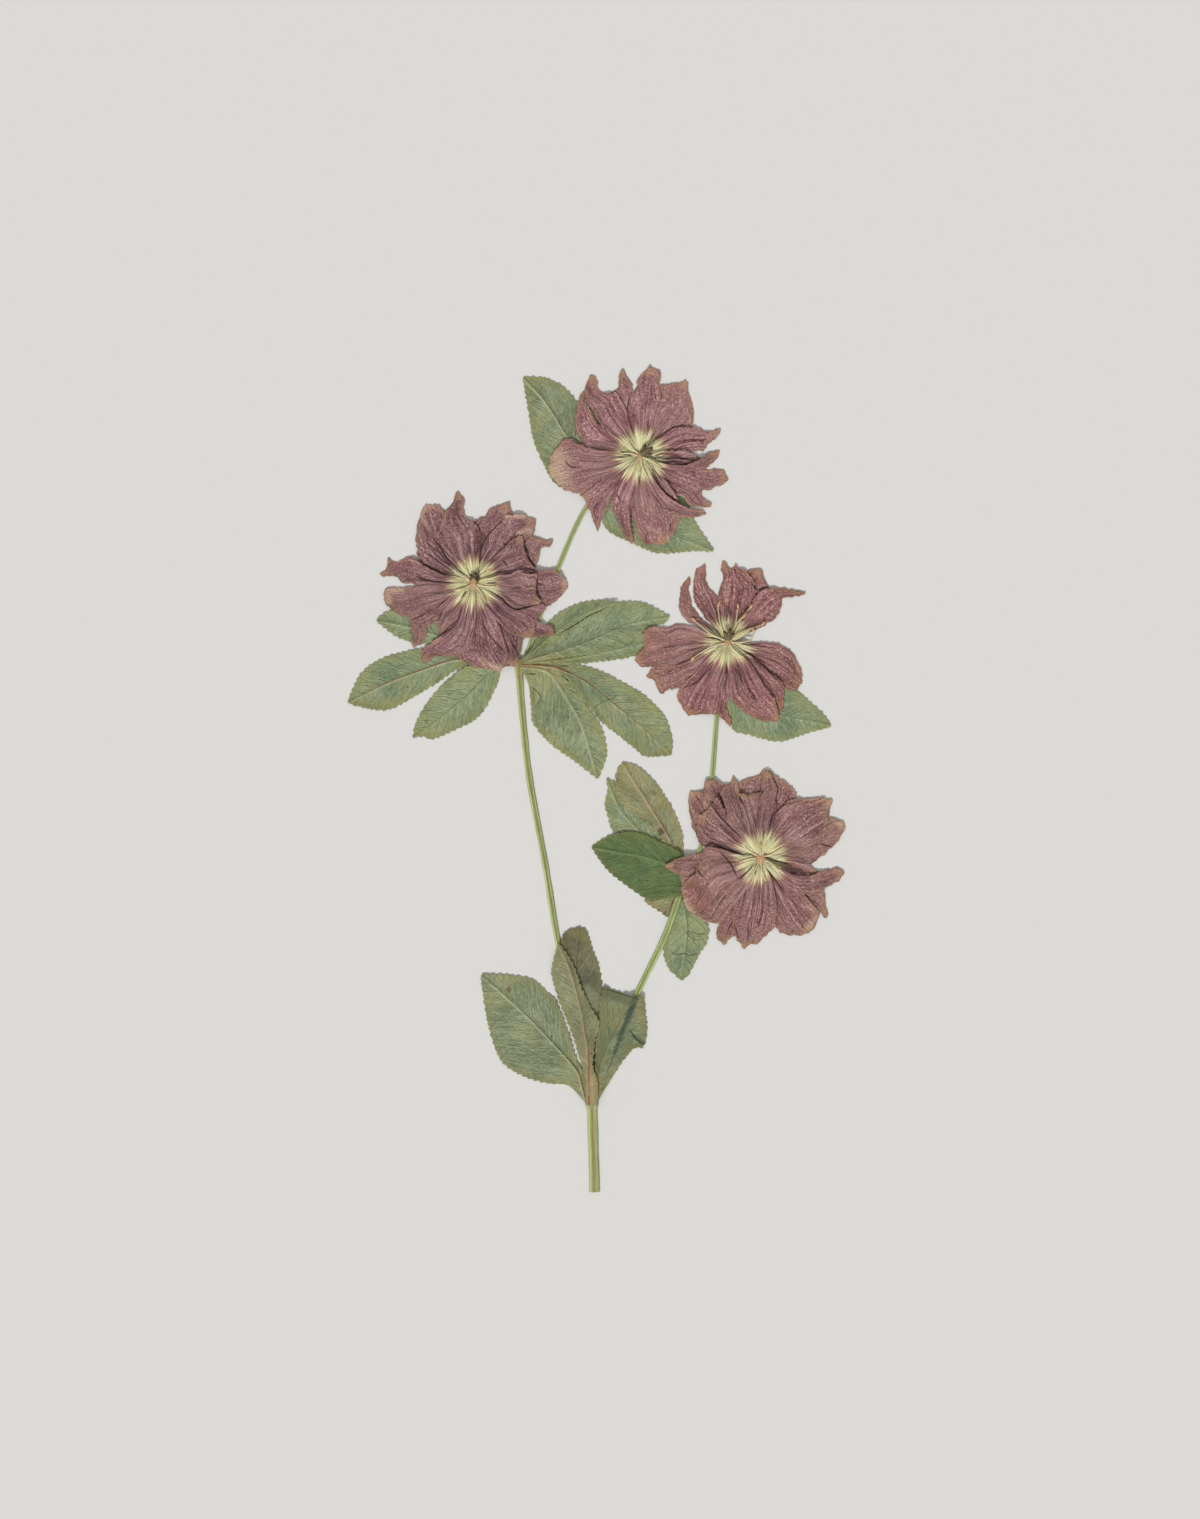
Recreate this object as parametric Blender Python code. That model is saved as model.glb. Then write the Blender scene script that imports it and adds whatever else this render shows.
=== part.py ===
"""A pressed spray of double hellebore, lying flat: one branching stem, its leaves and four blooms.

Plan positions are millimetres from the middle of the spray, x to the right and y towards the top bloom.
The surface that the spray lies on is z = 0. Every leaf and petal is a thin sheet laid on those before it.
"""

import bpy
import numpy as np

MM = 0.001
SHEET = 0.65  # thickness of a leaf or petal
NODE_GAP = 0.32  # clearance between two pieces that lie on each other
PETAL_GAP = 0.14  # clearance between two petals of the same bloom
MAX_SLOPE = 0.34  # steepest rise of a sheet that climbs over another
TOOTH = 1.0  # how far a leaf's teeth stand out
TOOTH_STEP = 6.0  # length of leaf edge for one tooth
CORE_RADIUS = 5.0  # receptacle that holds a bloom's petals together
CLAW_REACH = 1.6  # where petals start, from the middle of the bloom
CLAW_HALF = 1.1  # half the width of a petal's foot

STEM_MAIN = 1.7  # pressed thickness of the cut stem
STEM_BRANCH = 1.4
STEM_PEDICEL = 1.0
STEM_STEP = 9.0  # length of stem between two rows of corners

STAMEN_WIDTHS = (0.8, 0.8, 0.8, 1.7, 1.1)  # filament, then anther
STAMEN_THICK = 0.62

# Each leaf from base to tip: its left edge, its right edge and its midrib
LEAVES_UNDER_STEM = {
    "right_leaf_small": (
        [(31.5, -40), (24, -43), (18.2, -45.5), (21, -48.1), (24.5, -50.4), (26, -51.6)],
        [(33.4, -41), (32, -46), (30, -49.5), (28.2, -51), (27, -52)],
        [(32.5, -40.5), (29, -45.5), (26.4, -51.8)],
    ),
    "right_leaf_under": (
        [(31.6, -46), (30.2, -54.4), (27.9, -59), (25.3, -63.6), (25.6, -67.6), (27.3, -71.6),
         (31.4, -75.6)],
        [(34.5, -46.5), (38, -51), (42, -54.5), (42.6, -57.5), (41.6, -61.9), (39.3, -65.3),
         (34.8, -73.9), (32.7, -76)],
        [(33, -46), (34.5, -56), (33.6, -66), (32, -75.8)],
    ),
}
LEAVES_OVER_STEM = {
    "low_leaf_back": (
        [(-2.6, -113), (-6, -98), (-10, -82), (-13.5, -70), (-13.4, -61), (-11.2, -58.4), (-7.3, -55.8)],
        [(-0.4, -113), (-0.6, -101.7), (1, -91), (1.4, -84.7), (2.4, -78.3), (0.9, -70.5), (-2, -62.8),
         (-6, -55.5)],
        [(-1.5, -113), (-4, -98), (-6.5, -82), (-7.8, -71.5), (-6.7, -55.6)],
    ),
    "low_leaf_right": (
        [(-0.8, -113), (0.6, -100), (1.6, -90), (2.4, -78.3), (6.3, -79.6), (13.6, -82), (16.8, -81.9)],
        [(0.6, -122), (3.4, -115.9), (8.7, -108.1), (14.1, -101.7), (17.5, -101.3), (19, -94.9),
         (18.3, -87), (17.8, -82.5)],
        [(-0.2, -117), (1.5, -106.6), (4.5, -99.3), (8.5, -92), (12.5, -86), (17.4, -82.2)],
    ),
    "low_leaf_left": (
        [(-5, -121), (-10.3, -116.8), (-19, -115), (-28.8, -112), (-36, -107), (-39.7, -98.8),
         (-41.9, -90), (-44.2, -75)],
        [(-4.6, -110.5), (-8, -104), (-11.2, -94.4), (-15.1, -82.7), (-18.5, -80.8), (-24.9, -75.4),
         (-33.6, -74), (-43.4, -73.4)],
        [(-4.5, -115), (-7.8, -109), (-14.2, -102.2), (-26.3, -89.5), (-38.5, -78.5), (-43.9, -74.1)],
    ),
    "low_leaf_front": (
        [(-4.2, -112), (-5.6, -108), (-9.8, -96.9), (-14.6, -84.7), (-17.3, -73), (-16.3, -67.5),
         (-14.9, -62.4)],
        [(-1.7, -112), (-1, -105), (1.9, -92), (0.5, -89.1), (-2.5, -83.2), (-8.3, -71.5), (-11.2, -66.2),
         (-14.2, -62)],
        [(-3, -112), (-3.4, -101.7), (-4.9, -93.4), (-5.9, -87.1), (-10, -72), (-14.6, -62.2)],
    ),
    "mid_leaf_right": (
        [(-26, 45), (-10.3, 44), (-2.2, 42.9), (8.7, 37.7), (19.2, 31.1), (25.8, 23.9), (28.5, 15.4),
         (28.4, 10.2)],
        [(-26, 43.4), (-16, 40.5), (-9, 35), (0.2, 23.5), (7.3, 17.8), (14.4, 12.1), (18.2, 9.2),
         (23.5, 9.2), (28, 9.5)],
        [(-26, 44.2), (-16.4, 43.2), (-4.6, 38), (4.9, 30.6), (15.4, 22), (28.2, 9.9)],
    ),
    "mid_leaf_down": (
        [(-28, 41.5), (-26, 36.3), (-25, 27.3), (-24.5, 22), (-18.8, 14.9), (-14.1, 11.1), (-9.3, 7.8),
         (-0.1, 0.7)],
        [(-26, 43.4), (-18, 43.2), (-9.3, 37.2), (-4.6, 29.6), (2.1, 19.2), (3.8, 10.6), (2.8, 6.3),
         (0.6, 0.9)],
        [(-27, 42.6), (-18, 41), (-12.6, 33.4), (-6, 22), (-1.7, 8.3), (0.2, 0.8)],
    ),
    "mid_leaf_low": (
        [(-25, 46.2), (-12, 48.5), (0, 52), (10, 55.5), (16.6, 56.3), (19.5, 54.5), (21.1, 53)],
        [(-25, 44.6), (-10.7, 44), (0.2, 45.1), (9.7, 46.3), (14.9, 47.7), (18.7, 51), (20.9, 52.5)],
        [(-25, 45.4), (-10, 46.6), (5, 49.5), (21, 52.8)],
    ),
    "mid_leaf_upper": (
        [(-26.6, 48.5), (-24, 53.6), (-18.8, 59.8), (-14.1, 63.8), (-6.5, 67.4), (0.2, 68.3),
         (7.2, 67.9)],
        [(-25.2, 46.8), (-18, 51), (-11.2, 54.5), (-2.2, 60.5), (5, 65), (7.3, 67.2)],
        [(-25.9, 47.6), (-19, 54), (-11, 60), (-2, 64.8), (7.3, 67.6)],
    ),
    "mid_leaf_wide": (
        [(-25.4, 47), (-15.2, 55.3), (-6.9, 59.8), (-2.2, 62.4), (7.3, 67.4), (17.3, 67.4), (24.9, 63.8),
         (27.4, 62.5)],
        [(-25, 45.4), (-12, 46.8), (0, 48.5), (9.7, 51), (16.6, 56), (20.6, 58.4), (25.8, 59.8),
         (27.5, 61.9)],
        [(-25.2, 46.2), (-12, 50), (0, 54.5), (12, 59.5), (27.5, 62.2)],
    ),
    "left_leaf_small": (
        [(-36, 46.5), (-50, 49.5), (-60, 51.2), (-70.1, 52.5), (-75.4, 54.3), (-79.1, 56.7),
         (-83.6, 60.4)],
        [(-36, 48.1), (-50, 55), (-60, 60.5), (-70, 64.3), (-79.1, 64.3), (-83.7, 61.2)],
        [(-36, 47.3), (-50, 52), (-62, 55.6), (-72, 58.6), (-83.7, 60.8)],
    ),
    "left_leaf_long": (
        [(-32.6, 43.6), (-50.5, 43.4), (-61.1, 36.8), (-69, 32.1), (-76.8, 27.7), (-81.5, 26.6),
         (-90.3, 28), (-94.5, 29.3)],
        [(-32.6, 45.4), (-50, 48.5), (-66.9, 49.9), (-82.4, 46), (-89.8, 40.5), (-93.8, 32.5),
         (-94.9, 30.1)],
        [(-32.6, 44.5), (-53.7, 46), (-69.9, 40.9), (-79.1, 37.4), (-94.8, 29.7)],
    ),
    "left_leaf_lower": (
        [(-32.4, 43.4), (-49, 43.6), (-59.2, 35.8), (-65.7, 28.4), (-69.2, 21), (-70.1, 16.7)],
        [(-32.4, 41.8), (-37, 40.5), (-40.7, 29.8), (-46.8, 22.4), (-56, 17.8), (-64.3, 15), (-69.6, 16)],
        [(-32.4, 42.6), (-42, 38.5), (-50, 32), (-64, 20.5), (-69.9, 16.3)],
    ),
    "right_leaf_tip": (
        [(30.4, -36.5), (18, -27), (5.8, -18.9), (4.4, -14.4), (3, -8.6), (4.1, -3.5), (3.5, 0.4)],
        [(31.9, -34.5), (24, -20), (16, -11), (9, -5), (7, -1), (4.1, 0.9)],
        [(31.2, -35.5), (20, -23), (9, -11), (3.8, 0.7)],
    ),
    "right_leaf_upper": (
        [(31.8, -36), (27, -27), (21, -17.2), (13.6, -12.6), (9, -8.1), (7, -2), (7.6, 4), (9.3, 6.5)],
        [(33.6, -36), (33, -27.5), (32.2, -20.1), (28.5, -10.3), (22.2, -0.9), (15.3, 5.4), (10.4, 6.8)],
        [(32.7, -36), (29, -24.7), (20.4, -9.8), (12.7, 2), (9.8, 6.7)],
    ),
    "right_leaf_dark": (
        [(34, -41), (31.9, -43.8), (25, -44.7), (20.4, -45.6), (14.7, -42.4), (5, -35), (1.6, -31),
         (-2, -25.7)],
        [(34.2, -35.5), (33, -28.7), (25.6, -24.1), (16.4, -20.1), (10.7, -19.5), (5, -20.9),
         (-1.8, -24.8)],
        [(34.1, -38.2), (30, -33.5), (19.3, -29), (7.3, -26.9), (-2, -25.2)],
    ),
    "top_leaf_left": (
        [(3, 114.5), (-6, 112.5), (-15, 112), (-21.3, 122.3), (-24.3, 130), (-26.1, 140.6),
         (-28.2, 152.7)],
        [(4.4, 117), (2, 128), (-3, 138), (-7.5, 144), (-12.6, 149.3), (-19.9, 152.9), (-27.8, 153.3)],
        [(3.7, 115.8), (-5, 122), (-11.2, 130.8), (-19.9, 144.4), (-28, 153)],
    ),
    "top_leaf_right": (
        [(5, 110.5), (15, 110), (28, 105.5), (35.6, 99.8), (41.9, 90.8), (44.3, 87.5)],
        [(3.6, 108.5), (1.6, 100), (4.4, 94.7), (13.2, 90.3), (22.9, 86.4), (37.6, 87.2), (43.9, 86.9)],
        [(4.3, 109.5), (15, 100.5), (28, 94), (44.1, 87.2)],
    ),
    "bloom_leaf_right": (
        [(48.9, 40), (60, 41), (74.6, 34.8), (84.9, 26.3), (87.8, 22.8), (88.9, 21.1)],
        [(47.6, 38.5), (48.4, 31), (51.8, 19.2), (57.1, 17.5), (69.3, 14.8), (80, 18), (88.7, 20.3)],
        [(48.2, 39.2), (57, 31), (67.8, 25.8), (84.9, 21.9), (88.8, 20.7)],
    ),
}

# The free edge of each petal, clockwise, in the order that the petals were laid down
TOP_BLOOM = (16.4, 123.2)
TOP_PETALS = [
    [(-6.5, 129.8), (-8.2, 134), (-7.6, 141), (-6.3, 147), (-4.8, 146.5), (-3, 141.5), (0.5, 135.4),
     (5, 131)],
    [(3, 136), (4.9, 147), (7.6, 147.5), (8.4, 153.5), (9.8, 156), (11, 152.6), (13.4, 149.5),
     (13.8, 143)],
    [(21, 144), (24, 150), (27, 150), (34.4, 151.8), (34.4, 147.3), (36.6, 141), (36.1, 134.5)],
    [(38, 115), (40, 111), (40.4, 107.5), (43.4, 104), (38.5, 103.7), (33.5, 105.5), (27, 108.5)],
    [(33, 104), (31.3, 98.5), (29.5, 94.5), (27.1, 90.6), (22, 89.9), (18.2, 90.2), (16.8, 93),
     (15, 102)],
    [(5, 110), (3.4, 103), (1.6, 98.6), (0, 94), (-0.9, 98), (-2.7, 101.5), (-3.8, 106), (-1, 110)],
    [(4, 110), (-2, 107), (-6.4, 109.2), (-2.5, 114), (2, 118)],
    [(-4, 113), (-10.2, 109.6), (-17.2, 115.2), (-18.5, 118.8), (-16, 125.4), (-11, 129.8),
     (-5.6, 127.6)],
    [(1, 134), (-4.6, 147), (-4, 151), (-2.4, 153.9), (0, 151), (1.2, 147.8), (6, 147.2), (10, 143)],
    [(12.5, 141), (15, 151.5), (20.3, 158.3), (21.7, 155.4), (23.3, 154.8), (24, 150.3), (24.5, 145)],
    [(27, 131.8), (32, 134.7), (41, 132.6), (46.5, 133), (44.3, 129.7), (40.4, 125.4), (35, 124.3)],
    [(38, 119), (41.9, 118.3), (47.5, 118.1), (49.7, 114.5), (47, 112), (40, 110.5), (33, 112)],
    [(11, 101), (17, 93.5), (13.7, 90), (11, 92.3), (8.3, 97.2), (5, 102.5), (6, 109)],
    [(30.3, 106), (35.1, 103.6), (41.7, 101.2), (35, 99.8), (29, 98.5), (24, 101)],
    [(32, 121.8), (36.6, 121), (42.3, 124.2), (46.8, 125.2), (45, 121.8), (41.6, 118.4), (33, 116.5)],
]
LEFT_BLOOM = (-46.8, 74.8)
LEFT_PETALS = [
    [(-46, 90), (-47.2, 98), (-42.7, 100.4), (-39, 103.9), (-33.2, 106), (-33.4, 101), (-31, 96),
     (-34, 90)],
    [(-60, 60.5), (-64.5, 56.5), (-66, 52), (-69.9, 50.8), (-70.6, 58.7), (-71.5, 62), (-66, 66)],
    [(-30, 60), (-28, 53.5), (-29.4, 48), (-31, 43.1), (-34, 44.2), (-38, 46), (-40, 52)],
    [(-30, 92), (-23.9, 92.8), (-16.9, 91.1), (-21.5, 88.3), (-22.4, 83), (-28, 80)],
    [(-27, 62), (-22, 59.3), (-17.8, 59), (-16.2, 55.4), (-19, 54.8), (-25, 54.5), (-31, 56)],
    [(-66, 84.5), (-69, 91.3), (-67.3, 100), (-65.2, 105), (-61, 104.6), (-58, 101.5), (-55, 95)],
    [(-70.5, 61.8), (-75.3, 63), (-80.6, 67.6), (-80.9, 71), (-78.5, 73.4), (-72, 73.4), (-66, 74)],
    [(-34, 50), (-35.5, 44), (-36.8, 41.4), (-43.2, 42.4), (-49.5, 44.8), (-53, 48), (-53, 54)],
    [(-38, 95), (-34, 100), (-26.8, 101), (-23.5, 98.8), (-24.8, 95.8), (-24, 93), (-28, 88)],
    [(-23, 79.5), (-16, 80.2), (-12.2, 77), (-11, 73.8), (-15.4, 68.4), (-21, 66.3), (-28, 68)],
    [(-68, 74.2), (-74, 75), (-77, 77.6), (-82.6, 78.2), (-78.6, 81.6), (-79.7, 84.5), (-74, 84),
     (-66, 84.6)],
    [(-58, 97), (-57, 102.8), (-52.8, 109.9), (-50.5, 106), (-50, 100), (-45.2, 96), (-44.2, 90)],
    [(-52, 50), (-53, 47.4), (-62.9, 46.6), (-66.3, 45), (-66.6, 49.5), (-62.2, 52.8), (-55, 59)],
    [(-31, 65), (-20.8, 64), (-23.5, 58.5), (-24.4, 54.2), (-28, 54.6), (-34, 56), (-38, 60)],
    [(-30, 80), (-22.8, 78.8), (-23.1, 72), (-21.5, 67.3), (-27.5, 65.9), (-31.5, 65.6)],
]
RIGHT_BLOOM = (49.5, 52.6)
RIGHT_PETALS = [
    [(54, 70), (56.5, 79.4), (59, 80.3), (62.3, 80.2), (62.8, 77.4), (65.2, 72.8), (62, 66)],
    [(36, 59.6), (31.6, 64), (31.2, 70), (33, 75), (34.9, 77.3), (35, 71), (37.4, 64.8), (43, 58)],
    [(57, 52.2), (65.5, 52.4), (72.2, 50.2), (76.8, 43.5), (77.5, 38), (76.1, 34.8), (70, 37), (63, 43)],
    [(36, 38), (30, 34.6), (24.3, 33), (22.6, 37.4), (18.4, 39.6), (21.5, 42.2), (30, 46)],
    [(50.2, 36), (50.2, 31.6), (48.9, 27.7), (50.8, 20.3), (46.9, 24.3), (43.5, 28), (42, 36)],
    [(43.5, 59.5), (37.5, 67.5), (36.5, 74), (38, 80.5), (40.6, 82.4), (41.5, 76), (45.6, 70.2),
     (47, 65)],
    [(25, 49), (20.8, 52.8), (17.7, 57), (24, 58.4), (32, 59.2), (38, 58)],
    [(28, 43.5), (22, 42.8), (14.9, 45.6), (17.5, 50.6), (21.5, 52.6), (32, 55)],
    [(45.5, 67), (48.6, 76.4), (47, 80.5), (47.8, 82.9), (52.3, 82), (57.5, 78.5), (60.3, 72), (57, 65)],
    [(46, 38), (46, 28), (41, 25.3), (34.7, 24.8), (31.5, 29.5), (30.5, 34), (36, 40)],
    [(61, 46), (65, 41.5), (70, 37.6), (71, 33), (70.3, 26.5), (67.8, 30), (62, 36)],
    [(66, 33), (69, 25.5), (68.7, 22.4), (62, 22.9), (56, 26), (50.6, 31.6), (50.6, 38)],
    [(57, 63), (60, 70.5), (65.2, 72.9), (72, 72.8), (79, 71.2), (70.2, 69), (68.6, 62.6), (60.5, 57)],
]
LOW_BLOOM = (62.0, -29.3)
LOW_PETALS = [
    [(39.3, -24.6), (36.2, -17.5), (34.8, -9), (35.4, -4.3), (41, -4.6), (45, -9)],
    [(47, -8), (49.3, -2), (51.7, 1.9), (53.2, -1), (54.4, -6)],
    [(73, -31), (80.5, -31.8), (84.6, -34.6), (83, -38), (76, -38)],
    [(40, -34), (35, -34.9), (30.8, -35.5), (25.9, -32.5), (29.6, -30), (35.9, -28.3), (40, -28.3)],
    [(80, -43), (85.6, -41.5), (86.6, -46), (87.5, -52.2), (84.8, -49.4), (82, -47), (77, -46)],
    [(58, -52), (52.5, -58.7), (48.2, -62.8), (45.5, -60.3), (45.6, -54.4), (49, -49)],
    [(42, -12), (40.3, -5), (41.8, 0.2), (48.6, -1.5), (51, -7)],
    [(80, -15), (91.9, -15), (94.9, -18), (90.5, -24.7), (87, -27.5), (81, -31.8), (76, -29)],
    [(54, -9), (54, -0.8), (61.7, 2.2), (64.6, 4.2), (68.5, 1.2), (75.9, -6.2), (73, -11)],
    [(81, -45), (84.5, -50), (82.2, -56.4), (78, -58.8), (70, -57.5), (66, -52)],
    [(48, -50), (41.3, -53.8), (34.9, -49.2), (32, -42.2), (34, -34.8), (42, -32)],
    [(69, -12), (76, -7), (86.3, -6.3), (89.5, -7.9), (86.7, -13.2), (87.5, -16.5), (82, -21.5)],
    [(68, -50), (68.2, -55.8), (60.8, -62), (55.8, -63.9), (52.5, -58.6), (50.5, -50)],
    [(74, -35), (84.8, -34.8), (90.5, -33), (93.9, -35.4), (88, -40.2), (82, -43), (76, -43)],
    [(41.5, -23), (38.3, -16), (38.8, -13), (45.4, -6.5), (50, -13), (54, -19)],
    [(50.5, -14), (51, -6), (56.5, -5), (62.5, -3.5), (66, -8), (66, -15)],
    [(54, -37), (49, -43), (43, -42.5), (38.4, -36.5), (38.6, -30), (41, -25), (47, -26.5), (52, -31)],
]
BLOOMS = {
    "top": (TOP_BLOOM, TOP_PETALS),
    "left": (LEFT_BLOOM, LEFT_PETALS),
    "right": (RIGHT_BLOOM, RIGHT_PETALS),
    "low": (LOW_BLOOM, LOW_PETALS),
}

# Carpels lean towards one side of each bloom, and stamens end where the anthers are
CARPELS = {"top": (20.4, 126.2), "left": (-46.2, 78.6), "right": (50.2, 57.2), "low": (61.8, -24.6)}
ANTHERS = {
    "top": [(12, 128.5), (9, 124), (12, 118), (19, 115.5), (24.5, 118.5), (25, 125)],
    "left": [(-50, 82), (-54, 78.5), (-54, 72), (-49.5, 67), (-42, 67.5), (-38.5, 73.5), (-40.5, 80)],
    "right": [
        (37.2, 60.6), (36.8, 46.8), (45.9, 66), (53.6, 65.6), (58, 65.4), (54.9, 61.6), (62.7, 59.1),
        (59.4, 56), (55.6, 46.7), (44, 45.5),
    ],
    "low": [(55, -24), (54, -31), (57.5, -37), (64, -38), (69, -34), (69.5, -26), (65.5, -22)],
}

# Stem pieces as centrelines, with a width and a pressed thickness
STEM_PARTS = [
    ([(-0.95, -156.4), (-1.4, -140), (-1.9, -123.5), (-2.1, -112)], 3.9, STEM_MAIN),
    ([(-2.3, -124), (-2.2, -117), (-2, -109)], 5.6, STEM_MAIN + 0.25),
    (
        [(-2.6, -114), (-5, -103), (-9.5, -83), (-14.7, -61.9), (-19.2, -31.2), (-25, 1.6), (-29.2, 30.2),
         (-29.6, 43.5)],
        2.7,
        STEM_BRANCH,
    ),
    ([(-1, -114), (2, -109), (8, -97), (15.2, -81), (26.1, -58.4),
      (33.2, -37.5)], 2.9, STEM_BRANCH + 0.05),
    ([(-29.7, 39.5), (-29.6, 46.5)], 4.0, STEM_BRANCH + 0.2),
    ([(31.6, -42), (33.8, -36)], 4.2, STEM_BRANCH + 0.2),
    (
        [(-29.2, 42), (-25.7, 50), (-20.5, 65), (-13, 85), (-8.2, 96), (-3.8, 104), (6, 115),
         (16.2, 122.9)],
        1.7,
        STEM_PEDICEL,
    ),
    ([(-30, 43), (-36, 55), (-46.5, 74.3)], 1.75, STEM_PEDICEL + 0.03),
    ([(33, -39), (39.4, -25.2), (41.5, -12), (43.6, 0.2), (45.6, 24.8), (49.4, 52)], 1.7, STEM_PEDICEL),
    ([(33, -38.5), (45, -35), (61.5, -29.6)], 1.75, STEM_PEDICEL + 0.03),
]


class Pile:
    """The height of everything laid down so far, in small square cells."""

    CELL = 0.4
    MARGIN = 0.3

    def __init__(self, low, high):
        self.low = np.array(low, float)
        shape = ((np.array(high) - self.low) / self.CELL).astype(int) + 1
        self.height = np.zeros(shape)

    def under(self, corners):
        """Cells under a triangle and a little beyond it, and their positions."""
        first = np.floor((corners.min(0) - self.MARGIN - self.low) / self.CELL).astype(int)
        last = np.ceil((corners.max(0) + self.MARGIN - self.low) / self.CELL).astype(int)
        i, j = np.meshgrid(np.arange(first[0], last[0] + 1), np.arange(first[1], last[1] + 1))
        spots = np.stack([i.ravel(), j.ravel()], 1)
        points = self.low + spots * self.CELL
        inside = np.ones(len(points), bool)
        for k in range(3):
            a, b = corners[k], corners[(k + 1) % 3]
            along = (b - a) / max(np.hypot(*(b - a)), 1e-9)
            left = np.array([-along[1], along[0]])
            inside &= (points - a) @ left > -self.MARGIN
        return spots[inside], points[inside]

    def ease(self, plan, faces, z):
        """Raise corners until no edge of the sheet is steeper than the limit."""
        edges = np.concatenate([faces[:, [0, 1]], faces[:, [1, 2]], faces[:, [2, 0]]])
        drop = MAX_SLOPE * np.hypot(*(plan[edges[:, 0]] - plan[edges[:, 1]]).T)
        for _ in range(60):
            before = z.copy()
            np.maximum.at(z, edges[:, 0], z[edges[:, 1]] - drop)
            np.maximum.at(z, edges[:, 1], z[edges[:, 0]] - drop)
            if np.allclose(before, z):
                return z
        return z

    def drape(self, plan, faces, z, gap, free=None, laid=None):
        """Height of each corner of a sheet that rests on the pile, or on an earlier state of it.

        free is a place, with a radius, where pieces may meet.
        """
        z = z.copy()
        height = self.height if laid is None else laid
        for f in faces:
            spots, points = self.under(plan[f])
            pile = height[spots[:, 0], spots[:, 1]]
            if free is not None:
                pile = pile[np.hypot(*(points - free[0]).T) > free[1]]
            if pile.max(initial=0) > 0:
                z[f] = np.maximum(z[f], pile.max() + gap)
        return self.ease(plan, faces, z)

    def add(self, plan, faces, top):
        for f in faces:
            spots, points = self.under(plan[f])
            i, j = spots[:, 0], spots[:, 1]
            level = np.clip(plane(plan[f], top[f], points), top[f].min(), top[f].max())
            self.height[i, j] = np.maximum(self.height[i, j], level)

    def within(self, centre, radius):
        i, j = np.indices(self.height.shape)
        x, y = self.low[0] + i * self.CELL, self.low[1] + j * self.CELL
        return np.hypot(x - centre[0], y - centre[1]) < radius

    def highest(self, centre, radius):
        return self.height[self.within(centre, radius)].max()


def plane(corners, z, points):
    """Height at the given points of the plane through three corners."""
    a, b, c = corners
    det = (b[0] - a[0]) * (c[1] - a[1]) - (b[1] - a[1]) * (c[0] - a[0])
    v = ((points[:, 0] - a[0]) * (c[1] - a[1]) - (points[:, 1] - a[1]) * (c[0] - a[0])) / det
    w = ((b[0] - a[0]) * (points[:, 1] - a[1]) - (b[1] - a[1]) * (points[:, 0] - a[0])) / det
    return z[0] + v * (z[1] - z[0]) + w * (z[2] - z[0])


def lengths(line):
    """Share of a line's length at each of its points."""
    steps = np.hypot(*np.diff(line, axis=0).T)
    run = np.concatenate([[0], np.cumsum(steps)])
    return run / run[-1], run[-1]


def along(line, shares):
    run, _ = lengths(line)
    return np.stack([np.interp(shares, run, line[:, 0]), np.interp(shares, run, line[:, 1])], 1)


def grid_faces(rows, columns):
    """Two triangles for each cell of a grid of corners."""
    faces = []
    for r in range(rows - 1):
        for c in range(columns - 1):
            a, b = r * columns + c, r * columns + c + 1
            d, e = a + columns, b + columns
            faces += [(a, b, e), (a, e, d)] if (r + c) % 2 else [(a, b, d), (b, e, d)]
    return np.array(faces)


def rim_loop(rows, columns):
    """Corners round the outside of a grid."""
    first = [c for c in range(columns)]
    right = [r * columns + columns - 1 for r in range(1, rows)]
    last = [(rows - 1) * columns + c for c in range(columns - 2, -1, -1)]
    left = [r * columns for r in range(rows - 2, 0, -1)]
    return first + right + last + left


def facing_up(plan, faces):
    """Turns the triangles so that they face up, and tells whether they were turned."""
    a, b, c = (plan[faces[:, k]] for k in range(3))
    area = (b[:, 0] - a[:, 0]) * (c[:, 1] - a[:, 1]) - (b[:, 1] - a[:, 1]) * (c[:, 0] - a[:, 0])
    turned = area.sum() < 0
    return (faces[:, ::-1] if turned else faces), turned


def material(name, colour, roughness):
    mat = bpy.data.materials.get(name)
    if mat is None:
        mat = bpy.data.materials.new(name)
        mat.use_nodes = True
        shader = mat.node_tree.nodes["Principled BSDF"]
        shader.inputs["Base Color"].default_value = (*colour, 1)
        shader.inputs["Roughness"].default_value = roughness
        shader.inputs["Metallic"].default_value = 0
    return mat


def sheet_object(name, plan, rows, columns, bottom, thick, mat):
    """A closed sheet whose two faces are split into the same triangles."""
    faces, turned = facing_up(plan, grid_faces(rows, columns))
    loop = rim_loop(rows, columns)
    if turned:
        loop = loop[::-1]
    count = len(plan)
    low = np.column_stack([plan, bottom])
    high = np.column_stack([plan, bottom + thick])
    polys = [tuple(int(v) + count for v in f) for f in faces]
    polys += [tuple(int(v) for v in f[::-1]) for f in faces]
    for a, b in zip(loop, loop[1:] + loop[:1]):
        polys.append((a, b, b + count, a + count))
    mesh = bpy.data.meshes.new(name)
    mesh.from_pydata(np.concatenate([low, high]) * MM, [], polys)
    mesh.materials.append(mat)
    obj = bpy.data.objects.new(name, mesh)
    bpy.context.scene.collection.objects.link(obj)
    return obj


def laid_sheet(pile, name, plan, rows, columns, thick, mat, gap=NODE_GAP, start=0.0, free=None):
    faces, _ = facing_up(plan, grid_faces(rows, columns))
    z = np.full(len(plan), start) if np.isscalar(start) else start
    bottom = pile.drape(plan, faces, z, gap, free)
    return sheet_object(name, plan, rows, columns, bottom, thick, mat), faces, bottom


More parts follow.
